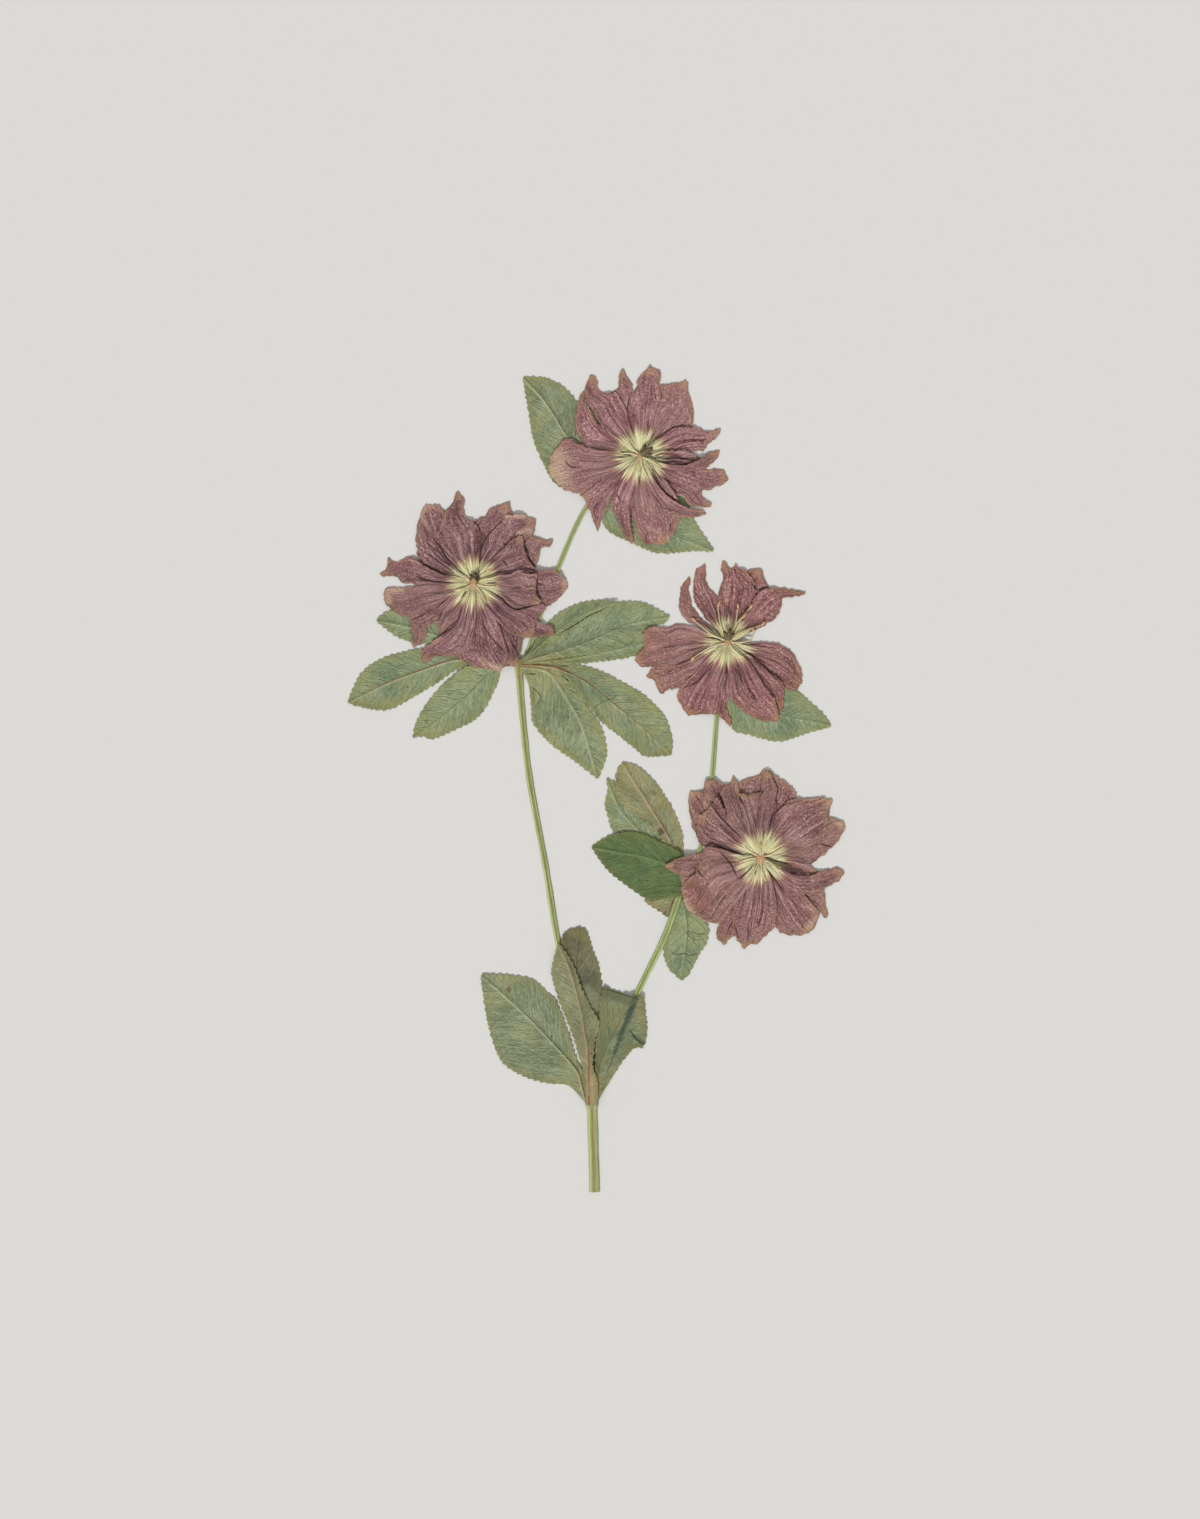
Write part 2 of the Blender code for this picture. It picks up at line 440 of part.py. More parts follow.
def button(name, centre, half, z_low, z_high, mat, turn=0.0, sides=12):
    """A low rounded lump: flat underneath, domed on top."""
    angles = np.linspace(0, 2 * np.pi, sides, endpoint=False)
    rings = [(0.86, 0.0), (1.0, 0.35), (0.72, 0.82)]
    verts = []
    for share, level in rings:
        x, y = half[0] * share * np.cos(angles), half[1] * share * np.sin(angles)
        turned = np.stack([x * np.cos(turn) - y * np.sin(turn), x * np.sin(turn) + y * np.cos(turn)], 1)
        verts += [(*(p + centre), z_low + level * (z_high - z_low)) for p in turned]
    verts.append((centre[0], centre[1], z_high))
    polys = [tuple(range(sides - 1, -1, -1))]
    for ring in range(2):
        for k in range(sides):
            a, b = ring * sides + k, ring * sides + (k + 1) % sides
            polys.append((a, b, b + sides, a + sides))
    polys += [(2 * sides + k, 2 * sides + (k + 1) % sides, 3 * sides) for k in range(sides)]
    mesh = bpy.data.meshes.new(name)
    mesh.from_pydata([tuple(c * MM for c in v) for v in verts], [], polys)
    mesh.materials.append(mat)
    obj = bpy.data.objects.new(name, mesh)
    bpy.context.scene.collection.objects.link(obj)
    return obj


def fuse(target, others, solver="EXACT"):
    """Joins the others into the target as one closed body."""
    group = bpy.data.collections.new("fuse_" + target.name)
    bpy.context.scene.collection.children.link(group)
    for other in others:
        group.objects.link(other)
    union = target.modifiers.new("union", "BOOLEAN")
    union.operation = "UNION"
    union.operand_type = "COLLECTION"
    union.collection = group
    union.solver = solver
    depsgraph = bpy.context.evaluated_depsgraph_get()
    mesh = bpy.data.meshes.new_from_object(target.evaluated_get(depsgraph))
    target.modifiers.clear()
    target.data = mesh
    for other in others:
        bpy.data.objects.remove(other)
    bpy.data.collections.remove(group)
    mesh.name = target.name
    return target


def leaf_plan(left, right, rib):
    """Rows of corners across a leaf: its toothed edges and its midrib."""
    left, right, rib = (np.array(line, float) for line in (left, right, rib))
    size = max(lengths(left)[1], lengths(right)[1])
    rows = 2 * max(3, round(size / TOOTH_STEP)) + 1
    shares = np.linspace(0, 1, rows)
    middle = along(rib, shares)
    sides = []
    for line in (left, right):
        edge = along(line, shares)
        out = edge - middle
        width = np.hypot(*out.T)
        reach = TOOTH * np.clip(width / 6, 0, 1)
        shift = np.where(np.arange(rows) % 2 == 1, 0.45, -0.55)
        edge = edge + out / np.maximum(width, 0.1)[:, None] * (reach * shift)[:, None]
        sides.append(edge)
    return np.stack([sides[0], middle, sides[1]], 1).reshape(-1, 2), rows, 3


def petal_plan(centre, edge):
    """Rows of corners across a petal, with a row at every point of its free edge."""
    centre, edge = np.array(centre), np.array(edge, float)
    tip = int(np.argmax(np.hypot(*(edge - centre).T)))
    tip = min(max(tip, 1), len(edge) - 2)
    heading = edge[[0, -1]].mean(0) - centre
    heading /= np.hypot(*heading)
    across = np.array([-heading[1], heading[0]]) * CLAW_HALF
    foot = centre + heading * CLAW_REACH
    near, far = (edge[tip - 1] - edge[tip]) * 0.12, (edge[tip + 1] - edge[tip]) * 0.12
    left = np.vstack([foot + across, edge[:tip], edge[tip] + near])
    right = np.vstack([foot - across, edge[:tip:-1], edge[tip] + far])
    marks = np.sort(np.concatenate([lengths(left)[0], lengths(right)[0], [0.3]]))
    shares = [0.0]
    for mark in marks[1:]:
        if mark - shares[-1] > 0.045:
            shares.append(mark)
    shares[-1] = 1.0
    a, b = along(left, shares), along(right, shares)
    plan = np.stack([a, 0.5 * (a + b), b], 1).reshape(-1, 2)
    return plan, len(shares), 3


def strip_plan(line, widths, offsets, step):
    """Rows of corners across a stem or a filament that follows a centreline."""
    line = np.array(line, float)
    _, size = lengths(line)
    rows = max(3, round(size / step) + 1)
    middle = along(line, np.linspace(0, 1, rows))
    heading = np.gradient(middle, axis=0)
    heading /= np.hypot(*heading.T)[:, None]
    normal = np.stack([-heading[:, 1], heading[:, 0]], 1)
    wide = np.interp(np.linspace(0, 1, rows), np.linspace(0, 1, len(widths)), widths)
    shift = normal[:, None] * (wide[:, None] * np.array(offsets))[:, :, None]
    return (middle[:, None] + shift).reshape(-1, 2), rows, len(offsets)


def build_stem(pile, mat):
    """The stem, its branches, sheaths and pedicels, each with two ridges and a groove between them."""
    solids, laid = [], []
    for number, (line, width, thick) in enumerate(STEM_PARTS):
        ridged = width > 2
        offsets = (-0.5, -0.26, 0, 0.26, 0.5) if ridged else (-0.5, 0, 0.5)
        levels = (0.5, 1.0, 0.86, 1.0, 0.5) if ridged else (0.6, 1.0, 0.6)
        plan, rows, columns = strip_plan(line, [width], offsets, STEM_STEP)
        profile = np.tile(np.array(levels) * thick, rows)
        part, start = f"stem_{number}", 0.02 * (number % 5)
        obj, faces, bottom = laid_sheet(pile, part, plan, rows, columns, profile, mat, start=start)
        solids.append(obj)
        laid.append((plan, faces, bottom + profile))
    for plan, faces, top in laid:
        pile.add(plan, faces, top)
    stem = fuse(solids[0], solids[1:])
    stem.name = stem.data.name = "stem"


def build_leaf(pile, name, left, right, rib, mat):
    plan, rows, columns = leaf_plan(left, right, rib)
    _, faces, bottom = laid_sheet(pile, name, plan, rows, columns, SHEET, mat)
    pile.add(plan, faces, bottom + SHEET)


def build_petals(pile, name, centre, petals, mat):
    """A bloom's petals, laid one by one round a receptacle that joins their feet."""
    centre = np.array(centre)
    foot_level = pile.highest(centre, CORE_RADIUS + 0.6) + NODE_GAP + 0.35
    free = (centre, CORE_RADIUS - 0.9)
    solids = []
    base = pile.height.copy()
    for number, edge in enumerate(petals):
        plan, rows, columns = petal_plan(centre, edge)
        reach = np.hypot(*(plan - centre).T)
        start = np.where(reach < CORE_RADIUS, foot_level, 0.0)
        faces, _ = facing_up(plan, grid_faces(rows, columns))
        over_nodes = pile.drape(plan, faces, start, NODE_GAP, laid=base)
        bottom = pile.drape(plan, faces, over_nodes, PETAL_GAP, free)
        obj = sheet_object(f"{name}_{number}", plan, rows, columns, bottom, SHEET, mat)
        solids.append(obj)
        pile.add(plan, faces, bottom + SHEET)
    core_top = pile.highest(centre, CORE_RADIUS + 1.5) + 0.2
    core = button(name, centre, (CORE_RADIUS, CORE_RADIUS), foot_level - 0.35, core_top, mat, sides=16)
    bloom = fuse(core, solids)
    near = pile.within(centre, CORE_RADIUS + 0.4)
    pile.height[near] = np.maximum(pile.height[near], core_top)
    return bloom


def build_heart(pile, name, centre, carpels, anthers, mat):
    """The carpels and stamens of a bloom, pressed flat over its middle."""
    centre, carpels = np.array(centre), np.array(carpels)
    level = pile.highest(centre, 6.5) + NODE_GAP
    solids = []
    for number, end in enumerate(anthers):
        end = np.array(end)
        heading = (end - centre) / np.hypot(*(end - centre))
        line = np.stack([centre + heading * 0.8, end + heading * 0.8])
        plan, rows, columns = strip_plan(line, STAMEN_WIDTHS, (-0.5, 0.5), step=2.6)
        reach = np.hypot(*(plan - centre).T)
        start = np.where(reach < 2.2, level + 0.05, 0.0)
        part = f"{name}_{number}"
        obj, _, _ = laid_sheet(pile, part, plan, rows, columns, STAMEN_THICK, mat, start=start)
        solids.append(obj)
    lean = carpels - centre
    turn = np.arctan2(lean[1], lean[0])
    side = np.array([-lean[1], lean[0]]) / np.hypot(*lean)
    for shift in (-1.1, 0.0, 1.1):
        place = centre + 0.62 * lean + side * shift
        solids.append(button(f"{name}_carpel_{shift}", place, (3.2, 0.9), level + 0.1, level + 1.5, mat,
                             turn=turn - 0.16 * shift, sides=8))
    disc = button(name, centre, (2.2, 2.2), level, level + 0.9, mat, sides=10)
    return fuse(disc, solids)


def build():
    for obj in list(bpy.data.objects):
        bpy.data.objects.remove(obj)
    petal = material("petal", (0.27, 0.11, 0.13), 0.75)
    leaf = material("leaf", (0.26, 0.34, 0.18), 0.7)
    stem = material("stem", (0.35, 0.42, 0.16), 0.6)
    heart = material("heart", (0.45, 0.36, 0.14), 0.65)
    pile = Pile((-100, -162), (100, 164))
    for name, lines in LEAVES_UNDER_STEM.items():
        build_leaf(pile, name, *lines, leaf)
    build_stem(pile, stem)
    for name, lines in LEAVES_OVER_STEM.items():
        build_leaf(pile, name, *lines, leaf)
    for name, (centre, petals) in BLOOMS.items():
        build_petals(pile, "petals_" + name, centre, petals, petal)
    for name, (centre, _) in BLOOMS.items():
        build_heart(pile, "heart_" + name, centre, CARPELS[name], ANTHERS[name], heart)


build()
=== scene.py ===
"""Looks of a pressed spray of double hellebore: stem, leaves, four blooms and their hearts.

Plan positions are millimetres from the middle of the spray, x to the right and y towards the top bloom.
Every leaf and petal is a thin sheet that settles on what was laid down before it.
"""

from math import radians

import bpy
import numpy as np
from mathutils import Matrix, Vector


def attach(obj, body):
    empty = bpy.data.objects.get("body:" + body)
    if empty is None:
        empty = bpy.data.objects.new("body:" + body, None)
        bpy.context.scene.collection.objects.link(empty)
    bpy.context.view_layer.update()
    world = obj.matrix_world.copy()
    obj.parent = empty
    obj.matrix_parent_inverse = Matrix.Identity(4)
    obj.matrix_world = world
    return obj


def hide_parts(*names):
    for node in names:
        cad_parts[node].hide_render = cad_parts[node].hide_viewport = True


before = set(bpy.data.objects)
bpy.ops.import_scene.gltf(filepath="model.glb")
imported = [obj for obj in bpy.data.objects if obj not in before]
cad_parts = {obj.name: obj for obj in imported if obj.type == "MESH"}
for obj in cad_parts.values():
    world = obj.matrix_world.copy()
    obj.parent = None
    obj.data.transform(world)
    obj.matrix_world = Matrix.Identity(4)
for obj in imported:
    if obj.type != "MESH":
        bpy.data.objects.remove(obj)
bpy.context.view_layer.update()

MM = 0.001
SEED = 11

# Dry sheets and how they settle
PETAL_THICK = 0.2
LEAF_THICK = 0.2
ROOM = ((-104, -166), (104, 168))  # the spray with a margin, from its lower left to its upper right corner
GAP = 0.08  # air between two sheets that lie on each other
SETTLE_SLOPE = 0.3  # steepest rise of a sheet that climbs over another
CELL_DIAGONAL = 1.41  # of a cell with sides of one
SPLIT = 3  # a sheet's mesh is split this fine where it meets the heap
PETAL_STEP = 0.5  # size of a petal's mesh cells
LEAF_STEP = 0.55
STEM_STEP = 1.4
STEM_LIFT = 0.02  # keeps the undersides of joined stem pieces apart

# Petals: the foot near the middle of the bloom, the swing of the sides and the relief
CORE_REACH = 5.5  # petals grow into each other this near to the middle
CORE_STEP = 0.035  # each petal lies this much higher than the last one there
FOOT_REACH = 0.5
FOOT_HALF = 0.7
FLARE = 0.13  # how far the sides swing out near the star, in radians
PLEAT_RISE = 0.2
RIPPLE_RISE = 0.08
PETAL_CURL_RISE = 0.28
RAY_RISE = 0.16
TIP_DEPTH = 6.5  # how far the tan tips reach into a petal
FOLD_SHADE_HALF = 0.32  # half the width of a line of painted shade along a fold

# Leaves: teeth, side veins and relief
TOOTH = 0.85
TOOTH_PITCH = 2.3
TOOTH_POINT = 0.78  # where along a tooth its point stands
VEIN_PITCH = 4.6  # from one side vein to the next
VEIN_LEAN = 1.15  # how far a side vein runs forward for each step away from the midrib
STEEP_LEAN = {"top_leaf_left": 2.4, "top_leaf_right": 2.2, "right_leaf_dark": 1.8}
MIDRIB_RISE = 0.3
VEIN_RISE = 0.1
QUILT_RISE = 0.14
LEAF_CURL_RISE = 0.16
# Places of the mesh lines, from 0 at the midrib to 1 at the edge
LEAF_LINES = [0, 0.045, 0.1, 0.16, 0.23, 0.31, 0.39, 0.47, 0.55, 0.63, 0.71, 0.79, 0.86, 0.93, 1]

# Hearts: widths from foot to tip and pressed thickness
POD_WIDTHS, POD_THICK = [0.9, 1.9, 1.6, 0.5], 0.6
POD_SWINGS = [(-0.55, 0.9), (0.5, 0.95), (-0.05, 1.15)]  # radians from the carpels' lean, and length
THREAD_WIDTHS, THREAD_THICK = [0.65, 0.55, 0.45], 0.36
ANTHER_WIDTHS, ANTHER_THICK = [0.5, 1.0, 0.95, 0.4], 0.45
KNOB_LENGTH = 1.2  # for a width of one
KNOB_LIFT = 0.35
KNOB_DOME = 0.5
KNOB_SINK = 0.7  # how deep it goes into the petals

# Camera straight above, as the spray was photographed
VIEW_MIDDLE = (1.14, 7.98)
VIEW_TALL = 577.2
LENS = 85.0
SENSOR = 36.0

# Soft light from below the picture, which leaves the thin shadows above each edge
LAMP_FROM = (-0.35, -1.0, 0.8)
LAMP_STRENGTH = 2.9
LAMP_SOFTNESS = 9
AIR_STRENGTH = 0.5
FLOOR_HALF = 25.0  # in metres, so that its end is never in view
FLOOR_LEVEL = -0.02
FLOOR_TONE = (214, 212, 208)

# Each leaf from base to tip: left edge, right edge, midrib, finish
LEAVES_UNDER_STEM = {
    "right_leaf_small": (
        [(31.5, -40), (24, -43), (18.2, -45.5), (21, -48.1), (24.5, -50.4), (26, -51.6)],
        [(33.4, -41), (32, -46), (30, -49.5), (28.2, -51), (27, -52)],
        [(32.5, -40.5), (29, -45.5), (26.4, -51.8)],
        "straw",
    ),
    "right_leaf_under": (
        [(31.6, -44), (27.8, -54), (25.4, -60.4), (25.1, -64.6), (25.7, -68), (27.3, -71.6), (31.4, -75.6)],
        [(34.5, -46.5), (38, -51), (42, -54.5), (42.6, -57.5), (41.6, -61.9), (39.3, -65.3), (34.8, -73.9),
         (32.7, -76)],
        [(33, -46), (34.5, -56), (33.6, -66), (32, -75.8)],
        "sage",
    ),
}
LEAVES_OVER_STEM = {
    "low_leaf_back": (
        [(-2.6, -113), (-6, -98), (-10, -82), (-13.5, -70), (-13.7, -61), (-11.7, -57.4), (-7.4, -55.7)],
        [(-0.4, -113), (-0.6, -101.7), (1, -91), (1.8, -84.7), (2, -78.3), (0.5, -70), (-1.5, -65),
         (-3, -59.8), (-4.2, -56.6), (-6.7, -55.6)],
        [(-1.5, -113), (-4, -98), (-6.5, -82), (-7.8, -71.5), (-6.7, -55.6)],
        "olive",
    ),
    "low_leaf_right": (
        [(-0.9, -123), (-1, -115), (-0.7, -109), (-0.4, -103), (0.1, -98), (0.7, -90), (2.4, -78.3),
         (6.3, -79.6), (13.6, -82), (16.8, -81.9)],
        [(0, -123.2), (0.6, -121.6), (2.2, -118.5), (3.9, -115.8), (8.7, -108.1), (14.1, -101.7),
         (17.5, -101.3), (19, -94.9), (18.3, -87), (17.8, -82.5)],
        [(-0.4, -123), (0, -112), (1.5, -106.6), (4.5, -99.3), (8.5, -92), (12.5, -86), (17.4, -82.2)],
        "shaded",
    ),
    "low_leaf_left": (
        [(-4.1, -122.9), (-6.1, -120.4), (-9.1, -117.2), (-12, -115.5), (-19, -115), (-28.8, -112),
         (-36, -107), (-39.7, -98.8), (-41.9, -90), (-44.2, -75)],
        [(-3.4, -122.9), (-4, -117), (-5.3, -110.6), (-7.1, -107.3), (-8.7, -103.2), (-10.4, -96.9),
         (-12.5, -91), (-14.2, -86.9), (-15.8, -83), (-18.5, -80.8), (-24.9, -75.4), (-33.6, -74),
         (-43.4, -73.4)],
        [(-3.8, -122.9), (-5.1, -117.7), (-7.3, -110.4), (-14.2, -102.2), (-26.3, -89.5), (-38.5, -78.5),
         (-43.9, -74.1)],
        "dark_rib",
    ),
    "low_leaf_front": (
        [(-4.1, -123.2), (-4.5, -120), (-5, -113), (-5.3, -110), (-6.1, -107.3), (-7.3, -103.2),
         (-9.2, -96.9), (-11.5, -91), (-13.2, -86.9), (-15, -82), (-17.3, -73), (-16.3, -67.5),
         (-14.9, -62.4)],
        [(0, -123.2), (0.4, -119), (0, -113), (-1.5, -108.8), (-1.3, -103), (-0.5, -98), (0.9, -92),
         (-1.9, -86.9), (-6.2, -78.1), (-8.3, -71.5), (-11.2, -66.2), (-14.2, -62)],
        [(-3, -123.2), (-3.2, -112), (-3.4, -101.7), (-4.9, -93.4), (-5.9, -87.1), (-10, -72),
         (-14.6, -62.2)],
        "pale",
    ),
    "mid_leaf_down": (
        [(-29.4, 42.6), (-27.8, 40.5), (-26, 36.3), (-25, 27.3), (-24.5, 22), (-18.8, 14.9), (-14.1, 11.1),
         (-9.3, 7.8), (-0.1, 0.7)],
        [(-28.6, 43.8), (-24, 43.8), (-18, 43.2), (-9.3, 37.2), (-4.6, 29.6), (2.1, 19.2), (3.8, 10.6),
         (2.8, 6.3), (0.6, 0.9)],
        [(-29, 43.2), (-24, 42.8), (-18, 41), (-12.6, 33.4), (-6, 22), (-1.7, 8.3), (0.2, 0.8)],
        "pale_rib",
    ),
    "mid_leaf_right": (
        [(-28.8, 44.9), (-24, 45.1), (-10.3, 44), (-2.2, 42.9), (8.7, 37.7), (19.2, 31.1), (25.8, 23.9),
         (28.5, 15.4), (28.4, 10.2)],
        [(-28.8, 43.6), (-24, 43.2), (-16, 41.4), (-10.8, 38), (-6, 31.4), (-2, 26.5), (1, 22.8),
         (7.3, 17.8), (14.4, 12.1), (18.2, 9.2), (23.5, 9.2), (28, 9.5)],
        [(-28.8, 44.2), (-16.4, 43.2), (-4.6, 38), (4.9, 30.6), (15.4, 22), (28.2, 9.9)],
        "red_rib",
    ),
    "mid_leaf_low": (
        [(-28.6, 45.6), (-24, 46.3), (-12, 48.5), (0, 52), (10, 55.5), (16.6, 56.3), (19.5, 54.5),
         (21.1, 53)],
        [(-28.6, 44.4), (-24, 44.4), (-10.7, 44), (0.2, 45.1), (9.7, 46.3), (14.9, 47.7), (18.7, 51),
         (20.9, 52.5)],
        [(-28.6, 45), (-10, 46.6), (5, 49.5), (21, 52.8)],
        "sage",
    ),
    "mid_leaf_wide": (
        [(-28.6, 45.6), (-25, 48.2), (-15.8, 56), (-9, 60.4), (-4, 63.4), (6, 67.4), (17.3, 67.4),
         (24.9, 63.8), (27.4, 62.5)],
        [(-28.6, 44.8), (-25, 45), (-12, 46.8), (0, 48.5), (9.7, 51), (16.6, 56), (20.6, 58.4),
         (25.8, 59.8), (27.5, 61.9)],
        [(-28.6, 45.2), (-25.2, 46.2), (-12, 50), (0, 54.5), (12, 59.5), (27.5, 62.2)],
        "sage",
    ),
    "mid_leaf_upper": (
        [(-28.4, 46), (-25.4, 49.2), (-23, 53.6), (-18.8, 59.8), (-14.1, 63.8), (-6.5, 67.4), (0.2, 68.3),
         (7.2, 67.9)],
        [(-28.2, 45.6), (-24.6, 48), (-20, 51.8), (-15.1, 55), (-8.8, 58.6), (-4, 61.8), (0.9, 64.2),
         (7.3, 67.2)],
        [(-28.7, 45.7), (-25.9, 48), (-19, 54), (-11, 60), (-2, 64.8), (7.3, 67.6)],
        "sage",
    ),
    "left_leaf_small": (
        [(-31, 44.8), (-36, 46.2), (-50, 49.5), (-60, 51.2), (-70.1, 52.5), (-75.4, 54.3), (-79.1, 56.7),
         (-83.6, 60.4)],
        [(-31, 45.6), (-36, 48.1), (-50, 55), (-60, 60.5), (-70, 64.3), (-79.1, 64.3), (-83.7, 61.2)],
        [(-31, 45.2), (-36, 47.2), (-50, 52), (-62, 55.6), (-72, 58.6), (-83.7, 60.8)],
        "sage",
    ),
    "left_leaf_long": (
        [(-31, 44.6), (-36, 44.4), (-50.5, 43.4), (-61.1, 36.8), (-69, 32.1), (-76.8, 27.7), (-81.5, 26.6),
         (-90.3, 28), (-94.3, 29.3)],
        [(-31, 45.4), (-36, 46.2), (-50, 48.5), (-66.9, 49.9), (-82.4, 46), (-89.8, 40.5), (-93.8, 32.5),
         (-94.7, 30.1)],
        [(-31, 45), (-36, 45.2), (-53.7, 46), (-69.9, 40.9), (-79.1, 37.4), (-94.6, 29.7)],
        "red_rib",
    ),
    "left_leaf_lower": (
        [(-31, 45.4), (-36, 45.2), (-49, 43.5), (-56.6, 38.4), (-60.9, 34), (-65.7, 27.8), (-69, 21.6),
         (-70.1, 16.7)],
        [(-31, 44.7), (-34, 44.4), (-36.5, 42.4), (-37.4, 37.7), (-39.7, 32.8), (-42.6, 27), (-46.8, 22.7),
         (-53, 19.6), (-60.3, 16.3), (-63.8, 15.6), (-65.6, 16.6), (-69.7, 16.2)],
        [(-31, 45), (-42, 39.5), (-50, 32), (-64, 20.5), (-69.9, 16.4)],
        "sage",
    ),
    "right_leaf_tip": (
        [(30.4, -36.5), (18, -27), (5.8, -18.9), (4.4, -14.4), (3, -8.6), (4.1, -3.5), (3.5, 0.4)],
        [(31.9, -34.5), (24, -20), (16, -11), (9, -5), (7, -1), (4.1, 0.9)],
        [(31.2, -35.5), (20, -23), (9, -11), (3.8, 0.7)],
        "sage",
    ),
    "right_leaf_upper": (
        [(31.8, -36), (27, -27), (21, -17.2), (13.6, -12.6), (9, -8.1), (7, -2), (7.6, 4), (9.3, 6.5)],
        [(33.6, -36), (33, -27.5), (32.2, -20.1), (28.5, -10.3), (22.2, -0.9), (15.3, 5.4), (10.4, 6.8)],
        [(32.7, -36), (29, -24.7), (20.4, -9.8), (12.7, 2), (9.8, 6.7)],
        "straw",
    ),
    "right_leaf_dark": (
        [(34, -41), (31.9, -43.8), (25, -44.7), (20.4, -45.6), (14.7, -42.4), (5, -35), (1.6, -31),
         (-2, -25.7)],
        [(34.2, -35.5), (33, -28.7), (25.6, -24.1), (16.4, -20.1), (10.7, -19.5), (5, -20.9),
         (-1.8, -24.8)],
        [(34.1, -38.2), (30, -33.5), (19.3, -29), (7.3, -26.9), (-2, -25.2)],
        "deep",
    ),
    "top_leaf_left": (
        [(3, 114.5), (-6, 112.5), (-15, 112), (-21.3, 122.3), (-24.3, 130), (-26.1, 140.6), (-28.2, 152.7)],
        [(4.4, 117), (3.5, 128), (1.5, 136), (-2, 141), (-7.5, 144), (-12.6, 149.3), (-19.9, 152.9),
         (-27.8, 153.3)],
        [(3.7, 115.8), (-5, 122), (-11.2, 130.8), (-19.9, 144.4), (-28, 153)],
        "dark_rib",
    ),
    "top_leaf_right": (
        [(5, 112), (18, 112.4), (28, 110.6), (33.8, 108.4), (35.4, 104.4), (36.4, 99.6), (41.9, 90.8),
         (44.3, 87.5)],
        [(3.6, 108.5), (1.6, 100), (4.4, 94.7), (13.2, 90.3), (22.9, 86.4), (37.6, 87.2), (43.9, 86.9)],
        [(4.3, 109.5), (15, 100.5), (28, 94), (44.1, 87.2)],
        "sage",
    ),
    "bloom_leaf_right": (
        [(48.9, 40), (60, 41), (74.6, 34.8), (84.9, 26.3), (87.8, 22.8), (88.9, 21.1)],
        [(47.6, 38.5), (48.4, 31), (51.8, 19.2), (57.1, 17.5), (69.3, 14.8), (80, 18), (88.7, 20.3)],
        [(48.2, 39.2), (57, 31), (67.8, 25.8), (84.9, 21.9), (88.8, 20.7)],
        "sage",
    ),
}

